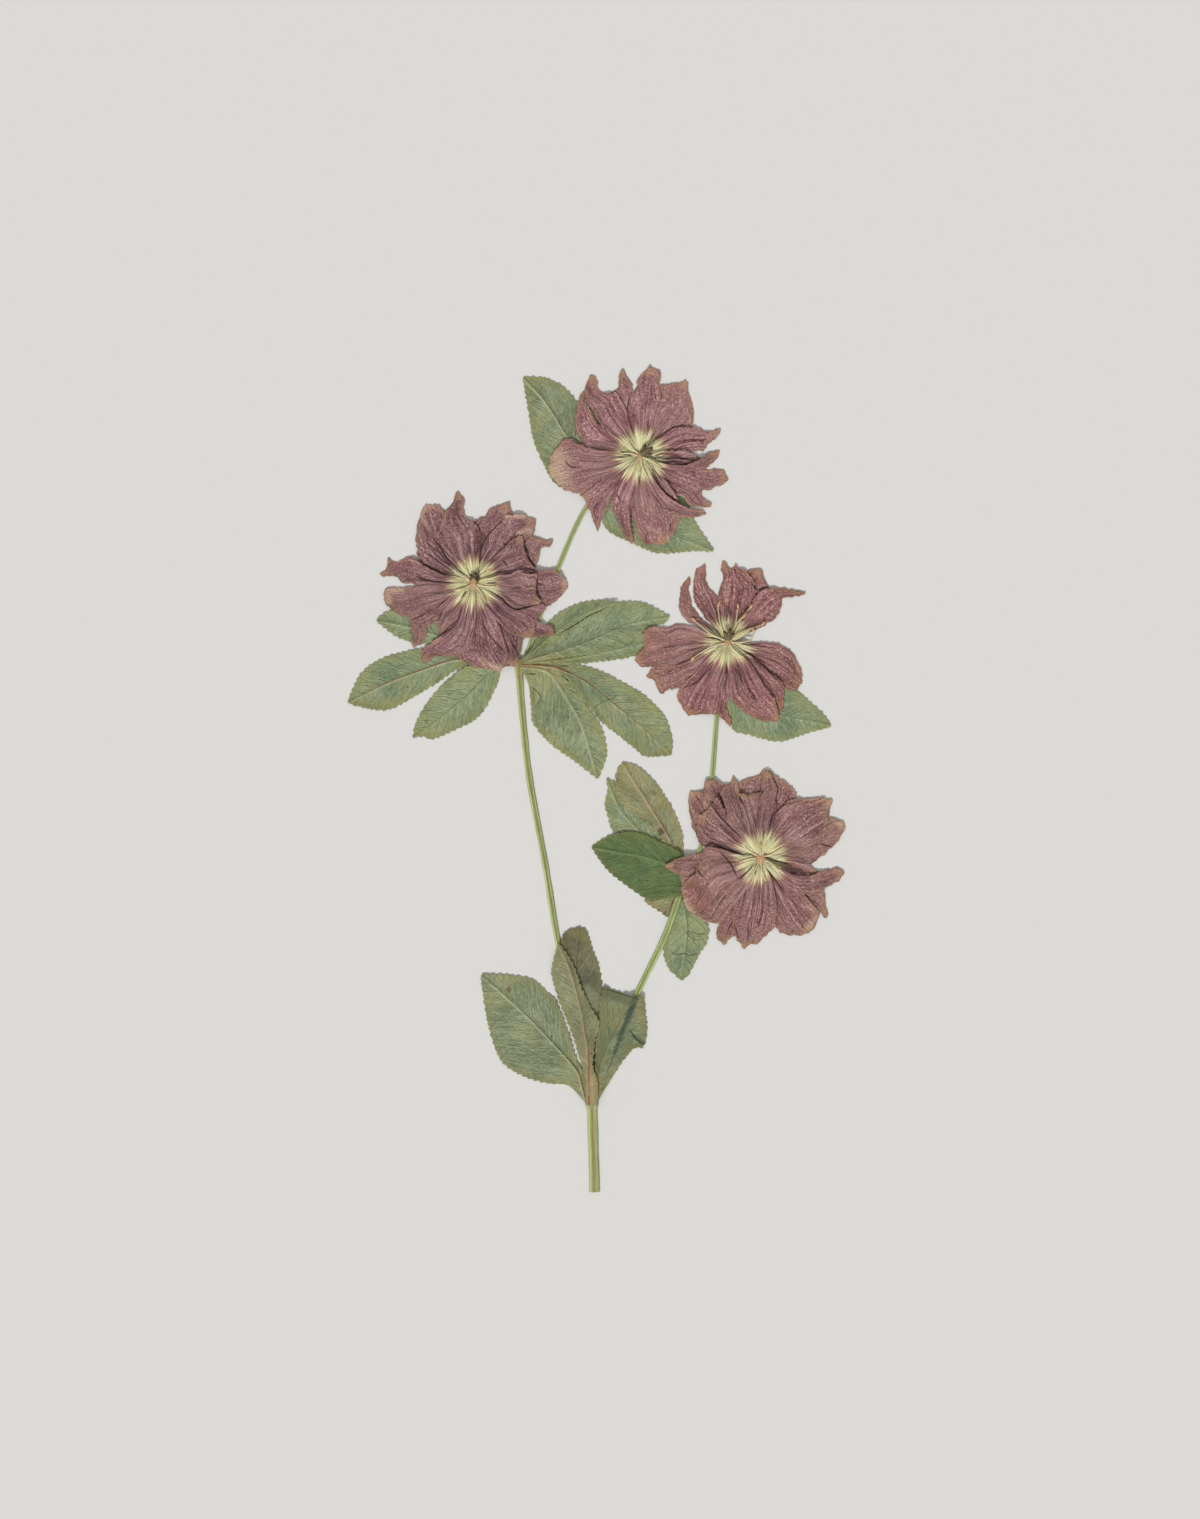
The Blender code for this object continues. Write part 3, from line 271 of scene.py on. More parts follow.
# Blooms: their middles, then the free edge of each petal, clockwise round its bloom, in the order
# that the petals were laid down
MIDDLES = {"top": (16.4, 123.2), "left": (-46.8, 74.8), "right": (49.5, 52.6), "low": (62.0, -29.3)}
PETALS = {
    "top": [
        [(3, 136), (5, 147), (7.4, 147.5), (8.2, 150.3), (8.3, 154), (9.8, 156), (10.5, 154.5),
         (12.7, 151), (13.5, 149.5), (14.5, 142)],
        [(20, 142), (23.8, 146), (24, 150), (26.9, 149.9), (28, 150.8), (31, 151), (33.5, 151.8),
         (34.6, 151.2), (34.3, 147.5), (35.5, 145), (36.7, 140.5), (36.6, 137), (36.2, 134)],
        [(37, 114), (39.8, 110.3), (40, 108), (41, 106.3), (42.4, 105.8), (43.4, 104), (41, 103.7),
         (38, 104), (34.8, 105), (32.8, 108), (29, 108)],
        [(33, 103), (31.3, 98.8), (30, 95.5), (28.8, 93), (27.2, 90.5), (25, 89.8), (22, 89.9),
         (19.5, 89.7), (18, 90.2), (17.3, 92), (16, 92.5), (13, 101)],
        [(6, 109), (3.2, 102.6), (2.5, 100.5), (1.1, 98), (0.3, 94.2), (-0.4, 96.5), (-1.5, 99.5),
         (-2.7, 101.5), (-3.6, 104.8), (-1, 110)],
        [(4, 110), (-3.6, 105.2), (-5.2, 107.5), (-6.4, 109.2), (-2.5, 114), (2, 118)],
        [(-1, 113), (-6.5, 109), (-10.2, 109.6), (-14.6, 112.3), (-17.2, 115.2), (-18.5, 118.6),
         (-18, 121), (-16, 125.4), (-14, 128), (-11.6, 129.8), (-9.2, 129.8), (-7.5, 128.5), (-5.5, 127.5),
         (1, 125.5)],
        [(6, 125.5), (0, 126.3), (-4, 127), (-6.5, 129.8), (-8.2, 133.7), (-8.3, 138.6), (-7.2, 143),
         (-6.3, 147), (-5, 147), (-3.8, 142.5), (-1.7, 139.1), (0.5, 135.4), (5.2, 131)],
        [(10, 127.2), (5, 131.2), (1.2, 135.6), (-1, 139.5), (-3, 142.8), (-4.6, 147), (-4, 150.5),
         (-2.5, 153.8), (-0.5, 153.2), (0.2, 150.5), (1, 148), (3, 147.4), (5.5, 147), (7.2, 147.3),
         (10, 143)],
        [(13.4, 133), (11.9, 138.1), (12.4, 143), (13.5, 147), (14.9, 149), (14.9, 151.7), (16.6, 153.4),
         (18.8, 155.4), (20, 157.6), (20.7, 156), (21.4, 154.4), (22.2, 154.9), (23.2, 156.2),
         (24.2, 153.4), (23.5, 150.2), (24.5, 145)],
        [(25.9, 131.3), (28.8, 133.7), (32.7, 134.7), (36.6, 134), (38.5, 134), (41, 132.5), (44, 132.9),
         (46.5, 133.4), (46.6, 131.6), (44.4, 129.8), (41.9, 127.5), (40.4, 125.4), (37, 125.2),
         (33, 124.6)],
        [(38, 119), (41.9, 118.1), (44, 118.3), (47.3, 118.2), (48.5, 116.8), (49.7, 114.5), (48.3, 112.7),
         (46, 111.7), (42.4, 110.4), (39.8, 110.6), (38.3, 109.5), (33, 111)],
        [(13, 103), (12.9, 97), (13.7, 93), (13.7, 90), (12.6, 90.2), (11, 92), (9.5, 94.5), (8.3, 97.2),
         (7, 100.5), (5.8, 102.5), (4.8, 102.6), (6, 109)],
        [(22.9, 112.7), (25.9, 108.8), (30.3, 105.9), (35.1, 103.5), (39.5, 102.4), (41.7, 101.3),
         (38, 100.3), (35, 99.9), (31.9, 99.6), (24, 103)],
        [(22, 125), (30, 125.3), (35, 125.2), (36.3, 124.4), (38.5, 122.9), (40, 122.3), (36.6, 120.3),
         (28, 120.5)],
        [(20.5, 122.1), (30.3, 122.3), (36.3, 121.5), (37.6, 120.9), (34, 120), (27, 120)],
        [(24, 120.6), (27.8, 120.2), (34.2, 120.1), (36.6, 120.7), (40, 122.5), (42.4, 124.4),
         (44.5, 125.2), (46.8, 125.4), (46.3, 123.6), (44.5, 121.3), (42.5, 119.5), (41.5, 118.5),
         (37, 117.5), (29, 117.5)],
    ],
    "left": [
        [(-46, 88), (-47.2, 98), (-45, 99.3), (-42.7, 100.4), (-41.2, 102.6), (-38.8, 104), (-35.4, 104.6),
         (-33.2, 106), (-33.8, 103.5), (-33.2, 101.5), (-31, 100.4), (-34, 90)],
        [(-60.2, 60.2), (-63.1, 59.4), (-64.6, 56.3), (-65.6, 52.6), (-67.5, 51.6), (-69.9, 50.7),
         (-70.1, 53.8), (-70.6, 58.7), (-71.2, 62), (-66, 66)],
        [(-30, 60), (-28, 53.5), (-29, 50), (-29.8, 46.5), (-31, 43.1), (-33.9, 44.1), (-36.2, 43.8),
         (-38, 46), (-40, 52)],
        [(-28.5, 91), (-26, 92.8), (-22.3, 92.2), (-20.3, 91), (-16.8, 91.4), (-18.3, 89), (-21.5, 88.3),
         (-22.3, 86), (-22.2, 83.5), (-24, 80)],
        [(-28, 62), (-24, 61), (-20, 59.2), (-17.8, 59), (-16, 55.3), (-19, 54.8), (-24, 54.3), (-31, 57)],
        [(-56, 77.5), (-61, 78.8), (-65, 80.8), (-67.6, 84), (-68.5, 87.4), (-69, 91.3), (-68.3, 95.7),
         (-67.3, 100.1), (-65.3, 105), (-63, 104.3), (-60.7, 104.7), (-59.2, 103), (-57.6, 101.5),
         (-55, 95)],
        [(-66, 64), (-70.5, 61.5), (-73.4, 62.8), (-75.3, 62.8), (-78.2, 65.3), (-80.4, 67.5),
         (-80.9, 70.5), (-79.8, 73), (-77, 73.3), (-74.8, 72.9), (-71.9, 73.4), (-66, 74.3)],
        [(-33.5, 48), (-35.5, 43.5), (-36.8, 41.4), (-38.5, 41.5), (-43.2, 42.4), (-46.6, 43.3),
         (-49.5, 44.6), (-52.4, 46.8), (-53.5, 49), (-53, 54)],
        [(-40, 90), (-37, 97.5), (-34.5, 100.5), (-31, 101), (-26.8, 101), (-27.2, 99.4), (-24.5, 99.2),
         (-23.4, 98.8), (-24, 97.5), (-25.8, 96.5), (-24.7, 95.2), (-23.9, 93.2), (-28, 88)],
        [(-39.3, 84.3), (-35.1, 89.1), (-30.8, 92.3), (-28.1, 92.9), (-27.1, 87.5), (-25.5, 83.3),
         (-23.3, 80.1), (-22.3, 78.5), (-27.6, 78.5), (-33, 78)],
        [(-28, 79.8), (-22.5, 79.6), (-18.7, 80.3), (-15.9, 80.2), (-13.4, 78.2), (-11.7, 76), (-11, 73.8),
         (-13, 70.8), (-15.4, 68.4), (-18.8, 66), (-21.5, 66.9), (-28, 68)],
        [(-64, 74.6), (-68, 74.5), (-73.9, 75), (-74.8, 76.7), (-77, 77.9), (-79, 77.5), (-82.6, 78.2),
         (-80.7, 79.6), (-79, 81.5), (-79.7, 84.6), (-77.8, 83.6), (-76, 82.8), (-73.9, 84.2), (-71, 85),
         (-68, 83.5), (-64, 80.6), (-58, 78)],
        [(-57, 92), (-59.8, 96), (-58, 101.5), (-56.5, 103), (-54.6, 105.8), (-53.3, 109.8),
         (-51.5, 108.8), (-50.5, 106), (-50.6, 102.5), (-49.8, 100), (-47.3, 98.3), (-45, 95.8),
         (-44.1, 92.8), (-44.6, 86)],
        [(-50, 64), (-53, 60.5), (-57, 57), (-60, 55.3), (-60.3, 58), (-60.2, 60.5), (-62.5, 60.5),
         (-60, 66)],
        [(-48, 50), (-52.9, 47.4), (-56.3, 47.3), (-60.2, 47.4), (-62.9, 46.7), (-64.5, 45.1), (-66.3, 45),
         (-66.9, 48), (-66.2, 50), (-65.1, 51), (-62.2, 52.9), (-60, 54.6), (-57.5, 56.7), (-53.4, 60.2)],
        [(-31, 67.5), (-25, 67.5), (-20.5, 67), (-18.8, 66), (-20.8, 63.6), (-22.7, 61.1), (-22.7, 60),
         (-23.9, 58.2), (-24, 56), (-24.7, 54.2), (-27.6, 54.3), (-34, 56.5), (-38, 61)],
        [(-33, 78.2), (-29.5, 79.9), (-25.6, 78.8), (-22.6, 78.8), (-22.9, 75), (-23.1, 71), (-21.5, 67.2),
         (-27.6, 65.9), (-31.2, 65.4), (-33.9, 67.5), (-37, 70)],
    ],
    "right": [
        [(54, 68), (54, 78), (57, 79.6), (59, 80.2), (62.4, 80.2), (62.8, 77.5), (64.5, 74.5),
         (65.2, 72.6), (61, 66)],
        [(40.5, 57.6), (34.7, 60.4), (32.7, 62.3), (31.3, 65.2), (31.2, 69), (32, 73), (33.5, 75.8),
         (34.9, 77.4), (35.3, 76), (34.9, 73), (35.1, 70), (36.1, 66.7), (39.5, 61.8), (43, 58.2),
         (46, 55.6)],
        [(55, 52.6), (58, 52), (61, 52.2), (65.5, 52.4), (68.3, 52.1), (72.2, 50.2), (75.1, 47.2),
         (76.8, 43.5), (77.6, 40), (77.5, 37), (76.1, 34.8), (73.5, 34), (69.5, 37.5), (62, 43)],
        [(39, 38), (37, 38.5), (31.5, 35.4), (29.8, 34.6), (27.5, 34.7), (24.2, 32.9), (24.4, 35),
         (23.2, 37.6), (21.5, 38.7), (18.5, 39.5), (21, 40.7), (20.5, 42.6), (27, 43.4), (34, 46.5)],
        [(50.3, 40), (50.2, 31.6), (48.9, 27.7), (50, 25), (50.8, 20.3), (48.8, 22.6), (46.9, 24.3),
         (45.3, 26), (44, 32), (45, 39)],
        [(45.9, 57), (43.3, 59.2), (39.7, 63.6), (37.3, 67.5), (36.4, 71), (36.5, 75), (37.1, 78.5),
         (37.8, 80.5), (39, 80.6), (40.1, 80.3), (40.6, 82.5), (41.1, 79.5), (41.3, 76.5), (42.3, 74),
         (44, 71.6), (45.6, 70.3), (47, 65)],
        [(37, 47.2), (32, 44.5), (26.9, 42.6), (22, 42.8), (16.7, 43.3), (14.7, 45.6), (15.2, 47.7),
         (17.6, 50.6), (20.8, 52.6), (19.5, 55.5), (17.6, 57), (21.5, 58.3), (25.9, 57.9), (29.8, 59.2),
         (33.7, 59.2), (37.1, 58.4), (42, 56)],
        [(46, 63), (45.6, 67), (46, 71), (47.3, 74), (48.6, 76.3), (47.2, 79), (47, 80.6), (47.8, 82.9),
         (49.4, 81), (51, 80.3), (52.3, 82.2), (53.5, 80.8), (55.6, 80.1), (57, 79), (59.2, 75.8),
         (60.5, 72), (57.5, 64)],
        [(47, 38), (46, 30), (45.4, 25.4), (41, 25.3), (37.5, 25), (34.7, 24.8), (33.2, 26.2), (32.4, 28),
         (30.8, 31), (30.5, 33.5), (31.3, 35.3), (37, 40.5)],
        [(56.5, 48), (60, 46.6), (62.3, 45.2), (65, 41.5), (69.8, 37.7), (71, 35), (71, 32), (70.9, 28),
         (70.4, 26.5), (69.3, 27.5), (68.3, 29.5), (67.2, 31.5), (60, 38)],
        [(64, 35), (67.3, 31.5), (68.2, 28), (69, 24.8), (68.8, 22.3), (66.5, 22.6), (64.4, 22.4),
         (60.5, 23.5), (57.1, 25.4), (53.7, 28), (50.6, 31.6), (50.2, 38)],
        [(56, 62), (59.5, 69), (62.5, 72.3), (65.2, 72.9), (67.8, 73.4), (71.2, 72.9), (75.1, 72.2),
         (79, 71.2), (76.5, 70.3), (73, 69.6), (70.2, 69), (70, 66), (68.6, 62.6), (65.6, 60), (61, 57.4),
         (56, 55)],
    ],
    "low": [
        [(43, -25.5), (39.5, -24.5), (37.7, -21.5), (36.2, -17.5), (35.1, -12), (34.9, -8), (35.4, -4.3),
         (38.5, -4.3), (41, -5), (44.5, -10)],
        [(68, -29.6), (74, -30.2), (79, -31.4), (82.5, -33.4), (84.6, -34.8), (83, -38), (76, -38)],
        [(40, -42), (34.5, -41.5), (32.1, -39), (33.4, -36), (30.8, -35.5), (28.4, -34.4), (25.9, -32.5),
         (27.5, -31.4), (29.6, -30), (33, -28.8), (35.9, -28.3), (37.9, -28), (41, -27)],
        [(80, -42.5), (85.8, -41.5), (86.5, -44), (86.9, -47), (87.5, -52.2), (85.8, -51), (84.8, -49),
         (82, -47), (76, -45)],
        [(58, -52), (55, -55.5), (52.5, -58.7), (51, -59.4), (49.9, -60), (48.2, -62.8), (46.8, -61),
         (45.5, -60.3), (45.6, -57), (45.8, -54.4), (49, -49)],
        [(42, -13), (40.5, -10), (40.3, -4.5), (40.6, -1.5), (41.8, 0.2), (44, 0.1), (46.5, -0.6),
         (48.8, -1.6), (51, -7)],
        [(82, -17), (87, -14), (89, -14.2), (91.9, -15), (94.4, -17.9), (93.4, -20), (92, -22),
         (90.5, -24.6), (87.5, -27), (84.5, -29.5), (81, -31.8), (75, -30), (70, -30.4)],
        [(53, -9), (53.8, -1), (55, -0.2), (57.8, 1.1), (60, 1.7), (61.7, 2), (63.6, 4.2), (64.6, 3.2),
         (65.6, 3.8), (68.5, 1.2), (72, -0.7), (74.4, -3.2), (75.9, -6.2), (72.5, -11)],
        [(81, -46), (84.6, -50.5), (83.9, -53), (82.2, -56.4), (79.3, -58.4), (76.5, -58.9), (73, -58.6),
         (70, -57.6), (68.3, -56), (66, -52)],
        [(68.5, -12), (72, -8.2), (76, -6.8), (80.7, -6.9), (83.5, -6.6), (86.3, -6.2), (86.8, -7.2),
         (89.5, -7.9), (88, -10.6), (86.9, -13), (87.8, -16.5), (85.5, -19), (82, -21.5), (75, -25)],
        [(68.5, -48), (67.5, -56), (65.3, -57.5), (63.5, -59.2), (60.8, -62.1), (58, -62.5), (55.8, -63.9),
         (54.2, -62), (53.2, -60.2), (52.4, -58.6), (51, -51)],
        [(70, -33.5), (75, -35), (79.8, -35.6), (84.6, -34.8), (88, -33.6), (90.5, -33), (93.9, -35.4),
         (92.5, -37.3), (90.5, -39), (88, -40.2), (85.6, -41.6), (83, -43), (75, -43)],
        [(44, -23.4), (41.5, -23.3), (39.5, -20), (38.2, -16), (38.6, -13.3), (41.5, -11.5), (43.8, -8.5),
         (45.4, -6.5), (48, -10), (54, -19)],
        [(53, -20), (50.5, -17.5), (49, -14.5), (48.9, -12), (48, -8), (46.9, -4.5), (48, -2.5),
         (49.5, -2), (50.8, -0.3), (51.8, 1.6), (52.6, -0.3), (53.5, -1.5), (54.4, -5), (55, -10),
         (58, -18)],
        [(55.9, -16), (54.5, -10), (53.6, -5.6), (55.5, -4.9), (57.5, -5.4), (58.8, -6.9), (60.2, -5.2),
         (62.5, -4.2), (64, -9), (64.5, -16)],
        [(61, -16), (61.9, -11), (62.7, -4.3), (62.6, 0.5), (63.6, 3.4), (64.8, 3.8), (66.1, 2.5),
         (67.5, -0.5), (68.5, -3), (68, -7), (68.3, -10), (67, -16)],
        [(50, -50), (47.5, -53.5), (44.7, -54.5), (41.3, -53.8), (38.3, -51.7), (34.9, -49.2), (33, -46.1),
         (32, -42.2), (32.4, -39.6), (34.6, -37.4), (37.6, -35.4), (39.4, -32.6), (40.2, -29),
         (40.9, -25.2), (45.2, -24.9), (50, -26.6), (55, -28.4)],
    ],
}

# Hearts: where the carpels lean to, the way that each filament takes and how long its anther is
CARPELS = {"top": (20.4, 126.2), "left": (-46.2, 78.6), "right": (50.2, 57.2)}
STAMENS = {
    "top": [([(12, 128.5)], 0), ([(9, 124)], 0), ([(12, 118)], 0), ([(19, 115.5)], 0),
            ([(24.5, 118.5)], 0), ([(25, 125)], 0)],
    "left": [([(-50, 82)], 0), ([(-54, 78.5)], 0), ([(-54, 72)], 0), ([(-49.5, 67)], 0),
             ([(-42, 67.5)], 0), ([(-38.5, 73.5)], 0), ([(-40.5, 80)], 0)],
    "right": [([(37.2, 60.6)], 1.9), ([(36.8, 46.8)], 1.8), ([(45.9, 66)], 2.6), ([(53.6, 65.6)], 1.8),
              ([(58, 65.4)], 1.8), ([(54.9, 61.6)], 2.4), ([(62.7, 59.1)], 1.8), ([(55.6, 46.7)], 0),
              ([(44, 45.5)], 0), ([(55.6, 52.6), (58.5, 53.5), (59.5, 56.2)], 1.5)],
    "low": [([(55, -24)], 0), ([(54, -31)], 0), ([(57.5, -37)], 0), ([(64, -38)], 0), ([(69, -34)], 0),
            ([(69.5, -26)], 0), ([(65.5, -22)], 0), ([(61.8, -25.2)], 1.7)],
}
KNOB_RADIUS = {"top": 1.25, "left": 1.55, "right": 1.35, "low": 1.9}

# Stains, pale tips and yellowed places, with painted shade on two leaves: a line, half its width and how
# strong it is
PETAL_STAINS = [
    ([(36.5, -40), (38, -44), (40, -48)], 3.4, 0.7),
    ([(41, -43), (43, -46)], 2.6, 0.4),
    ([(33.6, -39), (34.2, -41)], 1.2, 0.6),
]
PALE_TIPS = [
    ([(-15.5, 122), (-16.6, 118), (-14.6, 114.5)], 7.5, 1.0),
    ([(-34, 101), (-30, 100.6), (-27, 100.6)], 1.9, 1.0),
    ([(-29.5, 94), (-26.2, 94.6), (-24.4, 95)], 2.1, 0.9),
    ([(-79, 68), (-79.5, 71.5), (-75, 72.6)], 2.4, 0.7),
    ([(-65, 104.6), (-66.5, 100), (-64, 96)], 1.3, 0.7),
    ([(-44, 46), (-41, 44), (-37, 42.4)], 1.8, 0.8),
    ([(-12.5, 71), (-12, 76), (-14, 79)], 1.9, 0.5),
    ([(80.5, -55.5), (82.6, -52.6)], 2.0, 0.75),
    ([(93, -17), (90, -14.8)], 1.6, 0.5),
    ([(35.5, -5.6), (35.9, -9)], 1.2, 0.5),
    ([(33.2, -46), (36, -50.4), (41, -53.6)], 1.0, 0.6),
]
LEAF_STAINS_AND_SHADE = {
    # painted shade: a stripe where the stem lies under this leaf, and dark patches along its folds
    "low_leaf_right": [
        ([(14.6, -82.5), (11.4, -91)], 1.7, 1.0),
        ([(11.4, -91), (8.6, -98)], 1.35, 1.0),
        ([(8.6, -98), (6.6, -103.7)], 0.95, 1.0),
        ([(14, -97), (17.6, -99.8)], 1.1, 0.7),
        ([(3, -80), (12, -83)], 3.6, 0.5),
    ],
    # painted shade where another leaf lies under this one
    "mid_leaf_right": [
        ([(-4, 36.4), (0, 33.6), (4.4, 32)], 4.2, 0.4),
        ([(1.6, 30.7), (2.4, 30.9)], 1.2, 0.5),
    ],
    "right_leaf_upper": [
        ([(23.8, -19.8), (24.6, -19.2)], 1.7, 0.95),
        ([(21.4, -4.2), (21.8, -5)], 0.8, 0.6),
    ],
    "low_leaf_left": [
        ([(-33.7, -79.3), (-33.5, -79.5)], 1.1, 0.9),
        ([(-15.6, -83), (-14.6, -86)], 0.9, 0.7),
    ],
    "right_leaf_small": [([(29, -45.5), (25.6, -51)], 0.8, 0.8)],
    "left_leaf_lower": [([(-65, 22.4), (-64.6, 22)], 0.8, 0.7)],
    "low_leaf_back": [([(-4, -80), (-1, -84), (0.4, -91)], 3.4, 0.8)],
    "mid_leaf_down": [([(-11, 19), (-9.4, 17.4)], 1.3, 0.4), ([(-24.6, 34), (-23.6, 31)], 1.4, 0.4)],
}
LEAF_YELLOWS = {
    "low_leaf_right": [
        ([(9.6, -85), (7.4, -93.4)], 2.8, 0.5),
        ([(15.6, -85), (16.8, -92)], 2.6, 0.6),
        ([(0.4, -122), (1, -112)], 1.8, 0.7),
    ],
    "low_leaf_back": [([(-9, -57.4), (-4.6, -59.6)], 2.6, 0.35)],
    "low_leaf_front": [([(-1.9, -122.6), (-2.2, -110)], 2.4, 0.95), ([(-2.6, -110), (-3, -102)], 1.3, 0.5)],
    "low_leaf_left": [([(-4.4, -121.6), (-6.6, -112)], 2.2, 0.8)],
    "right_leaf_upper": [([(10.2, 5.6), (8.6, -0.6)], 2.6, 0.6), ([(9, -6), (13.6, -11.6)], 1.2, 0.3)],
    "left_leaf_long": [([(-94, 30), (-88.6, 29.4)], 2.6, 0.5), ([(-84, 28.8), (-76, 30)], 2.6, 0.35)],
    "left_leaf_lower": [([(-69.4, 17), (-60, 18)], 2.4, 0.5)],
    "mid_leaf_wide": [([(-28, 46), (-20, 47), (-13, 46.6)], 1.7, 0.8)],
    "mid_leaf_low": [([(-28, 45.4), (-20, 45.2), (-13, 45)], 1.5, 0.8)],
    "mid_leaf_right": [
        ([(-28.4, 44.2), (-20, 43.7), (-13, 41.6)], 1.5, 0.85),
        ([(23, 10.6), (27.4, 11)], 1.8, 0.6),
    ],
    "mid_leaf_down": [
        ([(-28.4, 43.2), (-22, 42.6), (-16.6, 40.2), (-13.4, 35.4)], 1.5, 0.75),
        ([(-24, 24.6), (-20, 17.6), (-8, 8.4)], 2.4, 0.22),
    ],
}

# Painted shade along folds, slits and seams where sheets overlap, with how dark it is
LEAF_FOLD_SHADES = {
    "mid_leaf_upper": [([(-16, 54.8), (-8.8, 58.9), (-4, 62), (0.9, 64.4), (5, 66.6)], 1.0)],
    "mid_leaf_wide": [([(4, 57.4), (9, 57.9)], 0.5), ([(-6, 58), (-4, 58.6)], 0.5)],
    "mid_leaf_down": [
        ([(-26, 40.6), (-23.2, 40.5)], 1.0),
        ([(-13.6, 40.2), (-12, 39), (-10.4, 37.4)], 1.0),
        ([(-25.3, 36), (-22.9, 34.1), (-21.4, 31.7), (-22.4, 29.3), (-23.9, 27.3)], 0.7),
    ],
    "mid_leaf_right": [
        ([(-14, 44), (-12.3, 43.5), (-10.4, 43.6)], 1.0),
        ([(8.9, 33.9), (5.7, 31.2), (2.8, 30.2), (-2, 27.3)], 0.5),
    ],
    "left_leaf_lower": [
        ([(-57, 37.6), (-55.4, 38.6), (-53.6, 40.8)], 0.5),
        ([(-56.4, 32.6), (-53, 34.6)], 0.4),
    ],
    "left_leaf_long": [([(-80, 44), (-76, 43.4), (-71, 45)], 0.35)],
    "right_leaf_upper": [
        ([(16.2, -13.8), (18.8, -16), (21.8, -17.3)], 0.8),
        ([(18, -14.4), (21, -15.6)], 0.4),
    ],
    "right_leaf_under": [
        ([(27.6, -64.3), (30, -66.1), (32.8, -65.6), (35.6, -66.4), (39, -65.2)], 0.7),
        ([(35.6, -57), (38.4, -58.3), (41.6, -57.7)], 0.7),
        ([(33, -56), (35.6, -59.4), (38.4, -60.6), (41.4, -59.4)], 0.5),
    ],
    "low_leaf_right": [
        ([(12.4, -94.4), (14.8, -98), (17, -99.8), (18.9, -100.3)], 1.0),
        ([(6.8, -103.2), (5.2, -107.5), (3.2, -112)], 0.6),
        ([(2.6, -79), (9, -80.9), (15, -82.6)], 0.8),
    ],
    "low_leaf_back": [([(1.6, -85), (0.4, -90), (-0.2, -96)], 0.5)],
    "low_leaf_left": [([(-36, -100), (-28, -101.4), (-20, -106)], 0.3), ([(-38, -86), (-32, -88.6)], 0.3)],
}
